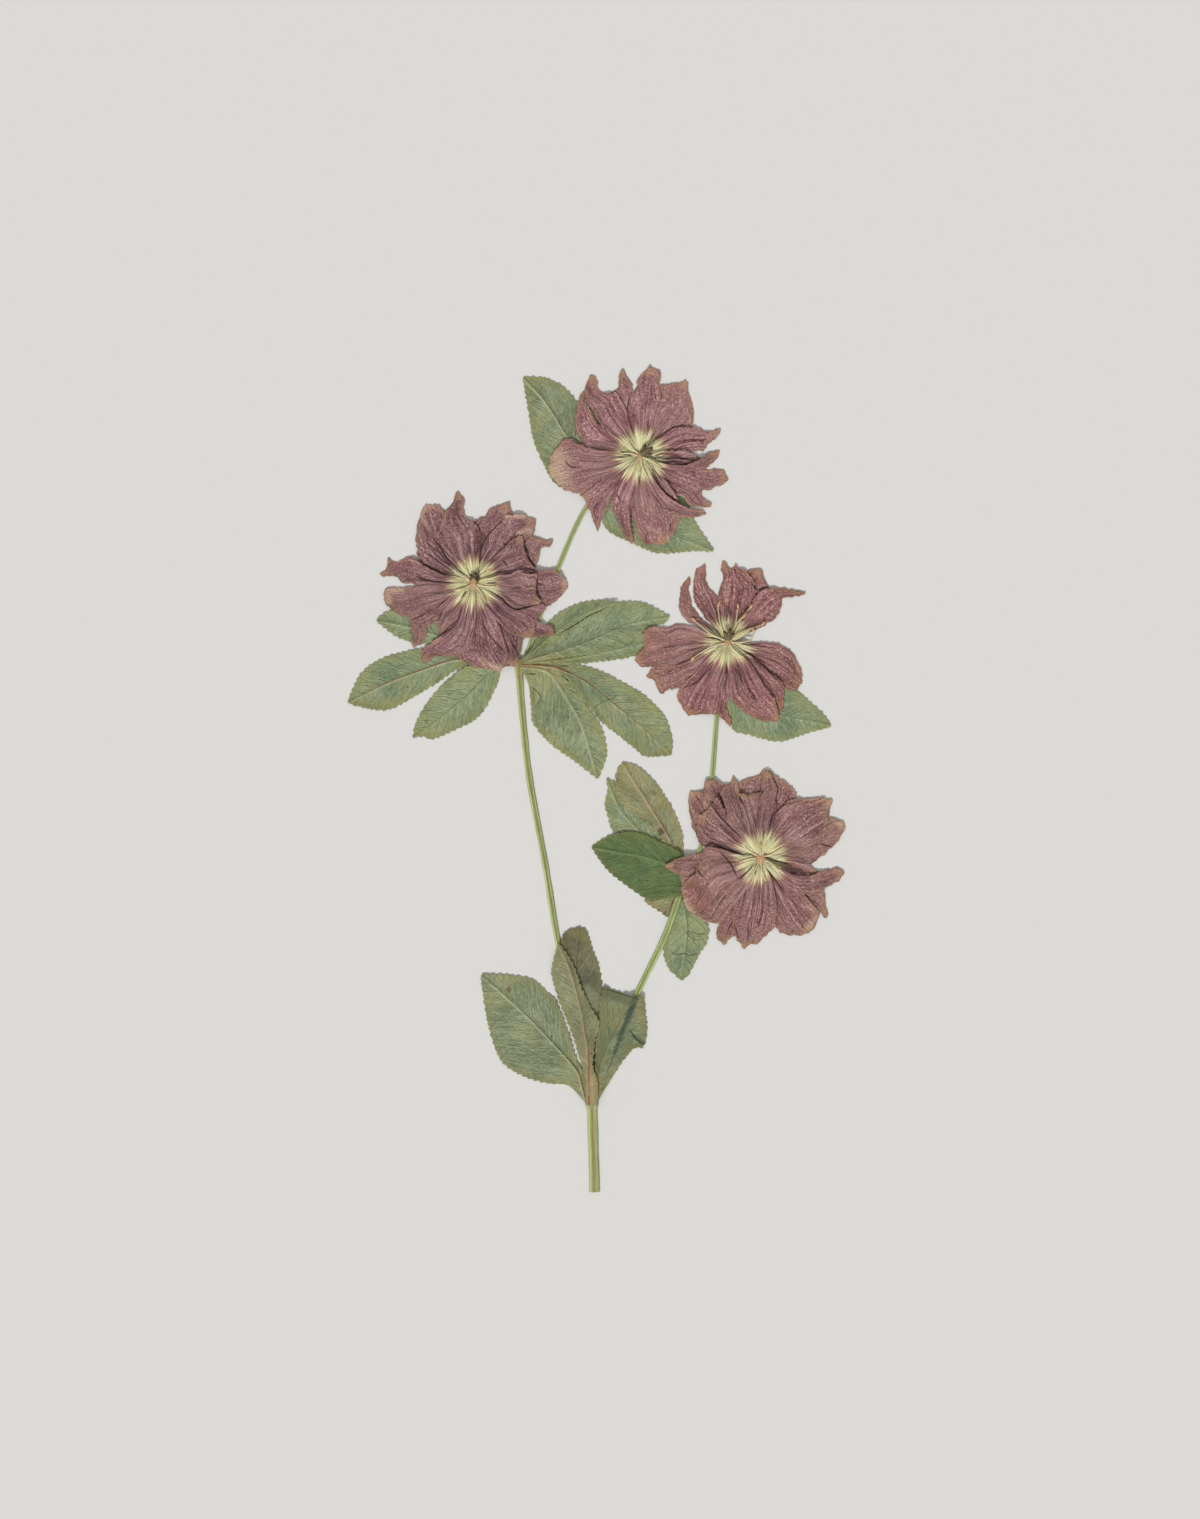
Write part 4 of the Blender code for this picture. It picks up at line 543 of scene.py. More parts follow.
PETAL_FOLD_SHADES = {
    "top": [
        ([(13.5, 148.7), (12.1, 143.9), (11.6, 139.6), (12.9, 135.3), (14.5, 130.5)], 0.7),
        ([(21.9, 129.6), (24.7, 131.6), (28.4, 133.8), (31.1, 134.7), (35.9, 134)], 0.8),
        ([(19.3, 123.1), (25.7, 122.1), (32.1, 122.4), (35.9, 121.5), (39.6, 122.5)], 0.8),
        ([(20.4, 122), (25.7, 120.4), (32.1, 119.9), (36.4, 120.9)], 0.85),
        ([(18.8, 120.4), (21.5, 115.1), (24.1, 111.3), (27.9, 107.6), (32.1, 104.9), (38, 102.8)], 1.0),
        ([(20.3, 120.8), (22.5, 116.9), (25.5, 113.2)], 0.6),
        ([(12.4, 104.8), (12.9, 97.5), (13.7, 92.7)], 0.7),
        ([(8.7, 125.2), (10.8, 123.9), (13.5, 123.4)], 0.9),
        ([(7.6, 122.8), (10.8, 122.7)], 0.8),
        ([(16, 116), (16.1, 112.5)], 0.8),
        ([(-12.7, 122), (-10, 119.3), (-6.5, 119.2)], 0.7),
        ([(7.2, 109.2), (8.9, 106.2)], 0.8),
        ([(21.7, 123.1), (25.2, 124.2)], 0.9),
        ([(23.4, 144), (21.9, 138.5), (20.9, 133.2)], 0.6),
        ([(25, 116.5), (29, 113), (33.5, 111.6)], 0.5),
        ([(3.5, 143), (5, 139), (8.5, 134), (12, 129.5)], 0.45),
        ([(28.2, 128.6), (33, 129.4), (38.5, 129.6)], 0.45),
        ([(-8.6, 128.5), (-5.6, 127.8)], 0.6),
    ],
    "left": [
        ([(-71.3, 84.9), (-68.1, 83.8), (-64.9, 81.7), (-60.7, 79.5), (-56.4, 77.4)], 0.9),
        ([(-70.3, 78.5), (-64.9, 76.3), (-59.6, 75.4), (-54.4, 75)], 1.0),
        (
            [(-44.1, 73.4), (-39.9, 71.5), (-36.1, 69.1), (-33.7, 66.7), (-30.8, 65.1), (-26.5, 65.9),
             (-21.2, 67)],
            1.0,
        ),
        ([(-62.8, 92.9), (-59.6, 88.6), (-55.9, 83.3), (-52.1, 79.5), (-48.9, 76.9)], 1.0),
        ([(-65.6, 91), (-60.2, 87), (-56.4, 82.6), (-53, 79.4)], 0.7),
        ([(-66.5, 87.5), (-61.2, 84.3), (-56.4, 80.6), (-53.7, 78.5)], 0.6),
        ([(-49.5, 72.1), (-51.6, 68.9)], 1.0),
        ([(-28.1, 92.3), (-27.1, 87.5), (-26, 84.3), (-22.8, 80.6), (-19.6, 80.1)], 0.9),
        ([(-29.2, 79.5), (-26, 78.7), (-22.4, 79.1)], 0.9),
        ([(-22.5, 77.9), (-22.8, 73.7), (-22.3, 69.9)], 0.7),
        ([(-36.1, 98.7), (-40.4, 94.5), (-43.1, 90.7), (-44.7, 85.9)], 0.8),
        ([(-32.9, 91.2), (-36.4, 87.6), (-39.6, 84.6)], 0.7),
        ([(-35.9, 83.9), (-33.6, 81.2)], 0.8),
        ([(-33, 72.7), (-28.7, 73.4)], 0.6),
        ([(-33.2, 70.4), (-29.2, 70.2)], 0.5),
        ([(-44.1, 60.9), (-40.9, 55.5), (-38.3, 52.3), (-34.5, 48.4)], 0.8),
        ([(-46.8, 66), (-46.7, 58)], 0.5),
        ([(-53.7, 58.7), (-59.6, 55), (-64.9, 51.8)], 0.8),
        ([(-32.4, 52.9), (-30.3, 49.1), (-29.8, 46.4)], 0.8),
        ([(-70.3, 61.2), (-67.6, 62.2), (-64.9, 63.5)], 0.7),
        ([(-42.6, 76.6), (-38.5, 77.8), (-35.6, 80.4)], 0.7),
        ([(-42, 74.8), (-37.6, 75.2)], 0.9),
        ([(-64, 71.5), (-58, 71), (-54, 72.2)], 0.5),
        ([(-57.5, 62), (-53.5, 66), (-50.8, 69.6)], 0.5),
    ],
    "right": [
        ([(57.3, 49), (61.2, 45.5), (64.2, 42.6), (67.2, 39.6), (70.7, 37.1)], 1.0),
        ([(40.9, 54.5), (44.3, 54), (47.8, 53.2)], 1.0),
        ([(54.3, 52.2), (57.7, 51.6), (62.2, 52)], 0.9),
        ([(28.9, 43.6), (33.4, 45.3), (36.4, 46.5), (40.4, 48.6)], 0.9),
        ([(32.4, 35.1), (37.4, 37.1), (41.9, 41.6), (44.3, 44.5)], 0.8),
        ([(49.3, 44), (49.3, 39.1), (47.6, 34.1)], 0.7),
        ([(53.8, 42.6), (55.8, 36.1)], 0.6),
        ([(58.2, 76.3), (60.7, 72.9), (65.2, 73.4)], 0.8),
        ([(65.2, 33.6), (67.4, 31.4)], 0.9),
        ([(36.4, 73.4), (38.9, 68.9), (41.4, 64.9), (44.3, 61.4)], 0.6),
        ([(52.4, 48.6), (54.4, 45.4), (58, 39), (63.5, 31)], 0.5),
        ([(62, 41), (66, 35.4)], 0.5),
        ([(34.9, 49.5), (40.4, 51), (44, 52)], 0.7),
        ([(48.6, 62.6), (50.8, 70), (51.4, 76)], 0.5),
        ([(58.5, 46.4), (66, 41.6), (73, 37.6)], 0.45),
        ([(24, 50.4), (31, 51.4), (38, 52.2)], 0.45),
    ],
    "low": [
        ([(40.9, -24.7), (47.6, -25.6), (52.6, -27.4), (57, -28.6)], 1.0),
        ([(45.7, -25.7), (51, -32), (53.5, -37.3)], 0.9),
        ([(53.1, -38.1), (56.6, -35), (59.8, -31.4)], 1.0),
        ([(62.5, -28.3), (66.6, -30), (70.5, -31.1), (74, -31.6)], 1.0),
        ([(70, -33.5), (74.4, -35.4), (79.8, -36), (84.6, -34.9)], 0.9),
        ([(53.9, -5.2), (54.7, -7.6), (55.9, -9.3)], 1.0),
        ([(46.5, -5), (48.2, -9), (49.1, -11.8), (48.9, -15)], 0.8),
        ([(65.8, 2.6), (68.6, -2.6), (68, -8), (69, -10)], 0.6),
        ([(75.6, -8.2), (71.4, -9), (67.6, -12), (65, -17.6)], 0.7),
        ([(41.8, -7), (45.7, -12.4), (51, -18), (56, -22.8)], 0.9),
        ([(39.6, -19), (44, -22), (52, -24.6)], 0.5),
        ([(64, -33), (68.5, -38.6), (71.6, -43)], 0.8),
        ([(71.6, -43), (76, -47.4), (79.4, -51)], 0.5),
        ([(84.7, -24), (89.4, -25.2)], 0.9),
        ([(81, -22.5), (85.5, -18), (89, -15.6)], 0.6),
        ([(37.8, -33.6), (40.4, -36.6)], 0.7),
        ([(52, -54), (54, -60)], 0.7),
        ([(57.5, -60), (57.6, -52)], 0.5),
        ([(60.6, -30.6), (60, -36)], 0.7),
        ([(41.4, -6.4), (47.4, -11)], 0.5),
        ([(76, -22), (84, -18), (88, -12.4)], 0.4),
    ],
}

# Stem pieces: centreline, widths, pressed thickness, how dry and how brown they look
STEM_PARTS = [
    ([(-0.95, -156.3), (-1.4, -140), (-1.9, -123.5), (-2.1, -112)], [3.9, 3.9], 1.5, 0.45, 0.5),
    ([(-1.95, -125), (-2.05, -123.4), (-2.1, -121.8)], [4.0, 5.0, 4.7], 1.7, 0.95, 0.0),
    (
        [(-2.6, -114), (-5, -103), (-9.5, -83), (-14.7, -61.9), (-19.8, -31.2), (-25.8, 1.6),
         (-28.8, 30.2), (-29.6, 43.5)],
        [2.3, 2.2, 2.2, 2.6],
        1.0,
        0.05,
        0.7,
    ),
    (
        [(-1, -114), (2, -109), (8, -97), (15.2, -81), (26.1, -58.4), (33.2, -37.5)],
        [2.5, 2.4],
        1.1,
        0.0,
        0.2,
    ),
    ([(-29.5, 38.6), (-29.6, 42), (-29.4, 46)], [2.5, 3.6, 3.0], 1.5, 0.6, 1.0),
    ([(31.6, -42), (33.8, -36)], [3.0, 4.0], 1.5, 0.4, 0.4),
    (
        [(-29, 43), (-26, 49.5), (-20.8, 65), (-13, 85), (-8.2, 96), (-3.8, 104), (6, 115), (16.2, 122.9)],
        [2.0, 1.9, 1.7],
        0.8,
        0.25,
        0.0,
    ),
    ([(-30, 43), (-36, 55), (-46.5, 74.3)], [1.6, 1.6], 0.8, 0.1, 0.0),
    (
        [(33, -39), (39.4, -25.2), (41.5, -12), (43.6, 0.2), (45.6, 24.8), (49.4, 52)],
        [1.8, 1.7],
        0.8,
        0.0,
        0.0,
    ),
    ([(33, -38.5), (45, -35), (61.5, -29.6)], [1.6, 1.6], 0.8, 0.0, 0.0),
]

# Tones are red, green and blue as the eye reads them, 0 to 255
# Petals: light, base, streaks, tips, and how far the pale star reaches
PETAL_TONES = {
    "top": ((222, 186, 178), (168, 122, 122), (104, 66, 70), (184, 142, 112), 8.5),
    "left": ((204, 172, 164), (148, 108, 109), (88, 58, 62), (178, 140, 114), 8.4),
    "right": ((216, 176, 162), (158, 111, 108), (94, 56, 58), (178, 134, 106), 7.8),
    "low": ((212, 178, 162), (158, 117, 112), (98, 66, 66), (184, 146, 114), 8.4),
}
# Leaves: light, base, dark, margin, painted highlight along one side of the midrib, its core and stains;
# the stain tones of red_rib and shaded are painted shade
LEAF_TONES = {
    "sage": ((168, 178, 144), (138, 150, 118), (98, 114, 82), (160, 160, 100), (158, 166, 130),
             (112, 120, 84), (100, 78, 62)),
    "dark_rib": ((168, 174, 140), (137, 145, 113), (98, 108, 80), (160, 156, 98), (182, 188, 150),
                 (84, 78, 54), (102, 70, 58)),
    "red_rib": ((168, 176, 142), (136, 147, 114), (96, 112, 80), (160, 158, 96), (178, 172, 130),
                (118, 76, 54), (96, 116, 90)),
    "pale_rib": ((168, 176, 140), (138, 149, 115), (96, 110, 78), (166, 162, 96), (182, 186, 148),
                 (150, 140, 102), (112, 96, 68)),
    "olive": ((138, 134, 102), (110, 107, 82), (78, 76, 56), (128, 120, 78), (122, 112, 84), (98, 74, 54),
              (136, 140, 108)),
    "straw": ((172, 172, 136), (144, 148, 114), (104, 110, 78), (170, 150, 100), (190, 172, 134),
              (122, 90, 66), (88, 66, 60)),
    "pale": ((158, 160, 128), (130, 133, 104), (94, 99, 72), (146, 142, 96), (166, 160, 126),
             (140, 90, 64), (90, 80, 60)),
    "deep": ((104, 126, 80), (86, 106, 63), (66, 84, 50), (118, 126, 66), (114, 136, 90), (80, 100, 58),
             (60, 70, 44)),
    "shaded": ((150, 158, 126), (120, 130, 101), (86, 98, 72), (148, 144, 92), (140, 144, 110),
               (104, 104, 70), (58, 74, 64)),
}
# Hearts: middle, sides, far end and streaks
HEART_TONES = {
    # carpel sides: partly the pods' own dark margin, partly painted shade along their rounded sides
    "carpel": ((116, 104, 68), (48, 42, 30), (70, 56, 38), (178, 162, 118)),
    "filament": ((240, 228, 188), (214, 196, 150), (232, 212, 166), (206, 184, 136)),
    "anther": ((238, 204, 148), (206, 158, 102), (222, 178, 120), (176, 126, 78)),
    "knob": ((208, 172, 128), (182, 144, 100), (154, 116, 76), (116, 84, 56)),
}


def drift(seed, *places, waves=7):
    """Smooth seeded unevenness, mostly between -1 and 1, with bumps about six units apart."""
    rng = np.random.default_rng(SEED + seed)
    total = 0.0
    for _ in range(waves):
        pace = rng.normal(size=len(places))
        total = total + np.sin(sum(k * p for k, p in zip(pace, places)) + rng.uniform(0, 2 * np.pi))
    return total / np.sqrt(waves)


def swell(seed, *places):
    """The same unevenness, mostly between 0 and 1."""
    return 0.5 + 0.5 * drift(seed, *places)


def over(plan, pace):
    """The x and y of a plan, scaled, for use with drift."""
    return np.moveaxis(plan * pace, -1, 0)


def rising(value, low, high):
    """A smooth step from 0 to 1."""
    x = np.clip((value - low) / (high - low), 0, 1)
    return x * x * (3 - 2 * x)


def fading(value, full, gone):
    """A smooth step from 1 to 0."""
    return rising(-value, -gone, -full)


def apart(places, spot):
    return np.hypot(*np.moveaxis(places - spot, -1, 0))


def run_of(line):
    """Distance along a line at each of its points."""
    return np.concatenate([[0], np.cumsum(apart(line[1:], line[:-1]))])


def at(line, run, places):
    return np.stack([np.interp(places, run, line[:, 0]), np.interp(places, run, line[:, 1])], -1)


def rounded(points, step=0.4, tension=0.42):
    """A curve through the traced points, sampled evenly."""
    points = np.array(points, float)
    ends = np.vstack([2 * points[0] - points[1], points, 2 * points[-1] - points[-2]])
    curve = []
    for a, b, c, d in zip(ends, ends[1:], ends[2:], ends[3:]):
        span = np.hypot(*(c - b))
        t = np.linspace(0, 1, max(2, int(span / step)), endpoint=False)[:, None]
        leave = (c - a) * tension * span / max(np.hypot(*(c - a)) / 2, 1e-6)
        arrive = (d - b) * tension * span / max(np.hypot(*(d - b)) / 2, 1e-6)
        h = (2 * t**3 - 3 * t**2 + 1, t**3 - 2 * t**2 + t, -2 * t**3 + 3 * t**2, t**3 - t**2)
        curve.append(h[0] * b + h[1] * leave + h[2] * c + h[3] * arrive)
    curve = np.vstack(curve + [points[-1:]])
    run = run_of(curve)
    return at(curve, run, np.linspace(0, run[-1], int(run[-1] / step) + 2))


def sideways(line):
    """Unit vectors to the left of a line's direction."""
    heading = np.gradient(line, axis=0)
    heading /= np.maximum(np.hypot(*heading.T), 1e-9)[:, None]
    return np.stack([-heading[:, 1], heading[:, 0]], 1)


def turned(step, angle):
    cos, sin = np.cos(angle), np.sin(angle)
    return np.array([cos * step[0] - sin * step[1], sin * step[0] + cos * step[1]])


def finer(grid):
    """The same grid with each cell split, by straight interpolation."""
    for axis in (0, 1):
        size = grid.shape[axis]
        spots = np.linspace(0, size - 1, (size - 1) * SPLIT + 1)
        first = np.minimum(spots.astype(int), size - 2)
        share = (spots - first).reshape([-1 if k == axis else 1 for k in range(grid.ndim)])
        grid = np.take(grid, first, axis) * (1 - share) + np.take(grid, first + 1, axis) * share
    return grid


def spread(field, reach, diagonal=True):
    """The highest value within reach of each cell."""
    for _ in range(reach):
        wide = np.pad(field, 1, mode="edge")
        if diagonal:
            row = np.maximum(np.maximum(wide[:-2], wide[1:-1]), wide[2:])
            field = np.maximum(np.maximum(row[:, :-2], row[:, 1:-1]), row[:, 2:])
        else:
            vein_highlight = [wide[:-2, 1:-1], wide[2:, 1:-1], wide[1:-1, :-2], wide[1:-1, 2:]]
            field = np.maximum.reduce([field, *vein_highlight])
    return field


def blurred(field):
    wide = np.pad(field, 1, mode="edge")
    row = (wide[:-2] + wide[1:-1] + wide[2:]) / 3
    return (row[:, :-2] + row[:, 1:-1] + row[:, 2:]) / 3


def sampled(field, where):
    """The value of a field between its cells."""
    first = np.clip(np.floor(where).astype(int), 0, np.array(field.shape) - 2)
    u, v = np.moveaxis(np.clip(where - first, 0, 1), -1, 0)
    i, j = first[..., 0], first[..., 1]
    near = field[i, j] * (1 - v) + field[i, j + 1] * v
    far = field[i + 1, j] * (1 - v) + field[i + 1, j + 1] * v
    return near * (1 - u) + far * u


class Heap:
    """The height of everything laid down so far, in small square cells."""

    CELL = 0.4
    PAD = 4

    def __init__(self, low, high):
        self.low = np.array(low, float)
        self.height = np.zeros(np.ceil((np.array(high) - self.low) / self.CELL).astype(int))

    def cells(self, plan):
        return np.floor((plan - self.low) / self.CELL).astype(int)

    def rest(self, plan, start=None):
        """Height of the underside of a sheet that settles on the heap, and nowhere below its start."""
        cells = self.cells(finer(plan)).reshape(-1, 2)
        first, last = cells.min(0) - self.PAD, cells.max(0) + self.PAD + 1
        below = self.height[first[0]:last[0], first[1]:last[1]]
        covered = np.zeros(below.shape)
        covered[tuple((cells - first).T)] = 1
        level = np.where((spread(covered, 1) > 0) & (below > 0), below + GAP, 0.0)
        if start is not None:
            fine = finer(np.dstack([plan, start])).reshape(-1, 3)
            np.maximum.at(level, tuple((self.cells(fine[:, :2]) - first).T), fine[:, 2])
        drop = SETTLE_SLOPE * self.CELL
        for _ in range(int(level.max() / drop) + 1):
            level = np.maximum(level, spread(level, 1, diagonal=False) - drop)
            level = np.maximum(level, spread(level, 1) - CELL_DIAGONAL * drop)
        level = blurred(blurred(spread(level, 2)))
        return sampled(level, (plan - self.low) / self.CELL - first - 0.5)

    def settle(self, plan, top, keep_off=None):
        """Adds a sheet's upper face, apart from a round place that it leaves open."""
        fine = finer(np.dstack([plan, top])).reshape(-1, 3)
        if keep_off is not None:
            centre, radius = keep_off
            fine = fine[apart(fine[:, :2], centre) > radius]
        np.maximum.at(self.height, tuple(self.cells(fine[:, :2]).T), fine[:, 2])

    def within(self, centre, radius):
        """Which cells lie near a place."""
        middles = self.low + (np.moveaxis(np.indices(self.height.shape), 0, -1) + 0.5) * self.CELL
        return apart(middles, centre) < radius


class Sheets:
    """Gathers closed sheets, and what is known at each of their corners, into one mesh."""

    def __init__(self):
        self.corners, self.faces, self.facts, self.count = [], [], {}, 0

    def add(self, plan, bottom, top, **facts):
        rows, columns = bottom.shape
        size = rows * columns
        number = np.arange(size).reshape(rows, columns)
        quads = np.stack([number[:-1, :-1], number[:-1, 1:], number[1:, 1:], number[1:, :-1]], -1)
        quads = quads.reshape(-1, 4)
        loop = np.concatenate([number[0], number[1:, -1], number[-1, -2::-1], number[-2:0:-1, 0]])
        a, b = plan[:-1, 1:] - plan[:-1, :-1], plan[1:, :-1] - plan[:-1, :-1]
        if (a[..., 0] * b[..., 1] - a[..., 1] * b[..., 0]).sum() < 0:
            quads, loop = quads[:, ::-1], loop[::-1]
        after = np.roll(loop, -1)
        walls = np.stack([loop, after, after + size, loop + size], -1)
        self.faces.append(np.vstack([quads[:, ::-1], quads + size, walls]) + self.count)
        for level in (bottom, top):
            self.corners.append(np.dstack([plan, level]).reshape(-1, 3))
        for name, values in facts.items():
            values = np.asarray(values, float)
            flat = (np.full(size, float(values)) if values.ndim == 0 else values).reshape(size, -1)
            self.facts.setdefault(name, []).append(np.vstack([flat, flat]))
        self.count += 2 * size

    def piece(self, name, finish):
        mesh = bpy.data.meshes.new(name)
        mesh.from_pydata(np.vstack(self.corners) * MM, [], np.vstack(self.faces))
        for fact, parts in self.facts.items():
            values = np.vstack(parts)
            kind, field = ("FLOAT", "value") if values.shape[1] == 1 else ("FLOAT_VECTOR", "vector")
            mesh.attributes.new(fact, kind, "POINT").data.foreach_set(field, values.ravel())
        mesh.shade_smooth()
        mesh.set_sharp_from_angle(angle=0.9)
        return placed(name, mesh, finish)


def placed(name, mesh, finish):
    """Puts a mesh with its finish into the scene."""
    mesh.materials.append(finish)
    piece = bpy.data.objects.new(name, mesh)
    bpy.context.scene.collection.objects.link(piece)
    return piece


def worn(line, seed, depth, fade=6.0):
    """A free edge with small nicks and waves."""
    run = run_of(line)
    rng = np.random.default_rng(SEED + 7 * seed + 1)
    fine = np.convolve(rng.uniform(-1, 1, len(line)), (0.25, 0.5, 0.25), "same")
    push = depth * (0.55 * drift(seed, run * 1.9) + 0.8 * fine)
    push *= np.clip(run / fade, 0, 1) * np.clip((run[-1] - run) / fade, 0, 1)
    return line + sideways(line) * push[:, None]


def toothed(line, seed, side):
    """A leaf edge with small teeth that point to the tip."""
    run = run_of(line)
    rng = np.random.default_rng(SEED + seed)
    phase = run / TOOTH_PITCH + 0.25 * drift(seed, run * 0.4)
    size = rng.uniform(0.55, 1.15, int(phase.max()) + 3)
    tooth = phase % 1
    depth = TOOTH * size[np.clip(phase.astype(int), 0, len(size) - 1)]
    depth *= rising(run, 0.12 * run[-1], 0.3 * run[-1]) * fading(run, 0.97 * run[-1], run[-1])
    rise = np.where(tooth < TOOTH_POINT, tooth / TOOTH_POINT, (1 - tooth) / (1 - TOOTH_POINT))
    out = sideways(line) * side
    heading = np.stack([out[:, 1], -out[:, 0]], 1) * side
    return line + out * (depth * (rise - 0.45))[:, None] + heading * (0.45 * depth * rise)[:, None]


def broadness(outline):
    """Area of an outline over the square of its length."""
    x, y = outline.T
    area = abs(np.dot(x, np.roll(y, 1)) - np.dot(y, np.roll(x, 1))) / 2
    return area / apart(outline, outline[0]).max() ** 2


def edge_distance(plan):
    """Distance of each corner of a grid from its sides and its far end."""
    rim = np.vstack([plan[:, 0], plan[:, -1], plan[-1]])
    return np.array([apart(rim, spot).min() for spot in plan.reshape(-1, 2)]).reshape(plan.shape[:2])


def stained(plan, stains, core=0.4):
    """How strongly each corner is stained: along lines with a half width and a strength."""
    depth = np.zeros(plan.shape[:2])
    for line, half, strength in stains:
        gap = np.min([apart(plan, spot) for spot in rounded(line, 0.5)], 0)
        depth = np.maximum(depth, strength * fading(gap, core * half, half))
    return depth


def folded(plan, folds):
    """Signed distance of each corner from the nearest fold, and how dark the painted shade along that fold
    is there.
    """
    nearest = np.full(plan.shape[:2], 9.0)
    offset, depth = nearest.copy(), 0 * nearest
    for line, strength in folds:
        line = rounded(line, 0.25)
        gaps = plan[:, :, None] - line
        spot = np.argmin(np.hypot(gaps[..., 0], gaps[..., 1]), -1)
        gap = np.take_along_axis(gaps, spot[..., None, None], 2)[:, :, 0]
        away = apart(gap, 0)
        sign = np.where((gap * sideways(line)[spot]).sum(-1) < 0, -1, 1)
        share = spot / (len(line) - 1)
        dark = strength * fading(away, 1.2, 2.4) * rising(share, -0.1, 0.25) * fading(share, 0.75, 1.1)
        closer = away < nearest
        nearest = np.where(closer, away, nearest)
        offset, depth = np.where(closer, sign * away, offset), np.where(closer, dark, depth)
    return offset, depth


def petal_grid(centre, edge, seed):
    """Plan of a petal: its foot, its two sides and its outer end, with a smooth patch between them."""
    line = worn(rounded(edge, 0.3, 0.28), seed, 0.4)
    tip = min(max(int(np.argmax(apart(line, centre))), 10), len(line) - 11)
    heading = line[[0, -1]].mean(0) - centre
    heading /= np.hypot(*heading)
    across = np.array([-heading[1], heading[0]]) * FOOT_HALF
    foot = centre + heading * FOOT_REACH
    bends = [centre + 0.5 * turned(line[k] - centre, swing) for k, swing in ((0, FLARE), (-1, -FLARE))]
    left_side = rounded([foot + across, bends[0], line[0]])
    right_side = rounded([line[-1], bends[1], foot - across])
    whole = np.vstack([left_side[:-1], line, right_side[1:]])
    tip += len(left_side) - 1
    run = run_of(whole)
    side = np.interp(broadness(whole), (0.22, 0.42), (0.94, 0.72))  # share of the outline that is its sides
    left_corner = run[tip] * side
    right_corner = run[tip] + (run[-1] - run[tip]) * (1 - side)
    rows = int(max(left_corner, run[-1] - right_corner) / PETAL_STEP) + 4
    columns = int((right_corner - left_corner) / PETAL_STEP) + 8
    t, s = np.linspace(0, 1, rows), np.linspace(0, 1, columns)
    left = at(whole, run, left_corner * t)[:, None]
    right = at(whole, run, run[-1] - (run[-1] - right_corner) * t)[:, None]
    near = (whole[0] * (1 - s[:, None]) + whole[-1] * s[:, None])[None]
    far = at(whole, run, left_corner + (right_corner - left_corner) * s)[None]
    s, t = s[None, :, None], t[:, None, None]
    corners = (1 - t) * ((1 - s) * left[0] + s * right[0]) + t * ((1 - s) * left[-1] + s * right[-1])
    plan = (1 - s) * left + s * right + (1 - t) * near + t * far - corners
    return plan, s[..., 0] + 0 * t[..., 0], t[..., 0] + 0 * s[..., 0], whole[tip]


def build_petals(heap, name, centre, petals):
    centre = np.array(centre)
    sheets = Sheets()
    base = heap.height[heap.within(centre, CORE_REACH)].max() + GAP
    for number, edge in enumerate(petals):
        seed = 100 * len(name) + 13 * number
        plan, s, t, point = petal_grid(centre, edge, seed)
        reach, rim = apart(plan, centre), edge_distance(plan)
        bottom = heap.rest(plan, np.where(reach < CORE_REACH, base + CORE_STEP * number, 0.0))
        angle = np.arctan2(plan[..., 1] - centre[1], plan[..., 0] - centre[0])
        pleats = swell(seed + 1, s * 26, t * 1.2)
        ripples = swell(seed + 2, *over(plan, 1.1))
        curl = np.clip(fading(rim, 0, 1.8) * swell(seed + 3, *over(plan, 0.25)), 0, 1)
        rays = swell(seed + 4, np.cos(angle) * 11, np.sin(angle) * 11)
        relief = PLEAT_RISE * pleats + RIPPLE_RISE * ripples + PETAL_CURL_RISE * curl
        relief *= rising(reach, 4, 14)
        relief += RAY_RISE * rays * rising(reach, 1.5, 4) * fading(reach, 8, 13)
        bottom = np.maximum(bottom + relief, 0)
        top = bottom + PETAL_THICK
        heap.settle(plan, top, (centre, CORE_REACH))
        mark = np.full(s.shape, 7.3 * number)
        wide = np.hypot(*(plan[-1, 0] - plan[-1, -1])) + 8
        grain = np.dstack([s * wide, t * rim.shape[0] * PETAL_STEP, mark])
        ray = np.dstack([np.cos(angle), np.sin(angle), mark])
        fold_offset, fold = folded(plan, PETAL_FOLD_SHADES[name])
        sheets.add(plan, bottom, top, grain=grain, ray=ray, reach=reach, rim=rim,
                   tip=fading(apart(plan, point), 0, TIP_DEPTH), stain=stained(plan, PETAL_STAINS),
                   pale=stained(plan, PALE_TIPS, 0.0), fold_offset=fold_offset, fold=fold)
    core = heap.within(centre, CORE_REACH + 0.5)
    level = base + CORE_STEP * len(petals) + PETAL_THICK + 0.1
    heap.height[core] = np.maximum(heap.height[core], level)
    return sheets


def leaf_grid(left, right, rib, seed):
    """Plan of a leaf blade, with its distances from the midrib and from its base."""
    smooth = [rounded(line, 0.3) for line in (left, right, rib)]
    lines = [toothed(smooth[0], seed, 1), toothed(smooth[1], seed + 50, -1), smooth[2]]
    runs = [run_of(line) for line in smooth]
    size = max(run[-1] for run in runs)
    share = np.linspace(0, 1, int(size / LEAF_STEP) + 4)
    left, right, middle = (at(line, run, share * run[-1])[:, None] for line, run in zip(lines, runs))
    k = np.array(LEAF_LINES)[None, :, None]
    plan = np.concatenate([(middle + (left - middle) * k)[:, :0:-1], middle + (right - middle) * k], 1)
    offset = apart(plan, middle)
    sign = np.where(np.arange(plan.shape[1]) < len(LEAF_LINES) - 1, -1.0, 1.0)
    return plan, offset * sign, (share * size)[:, None] + 0 * offset


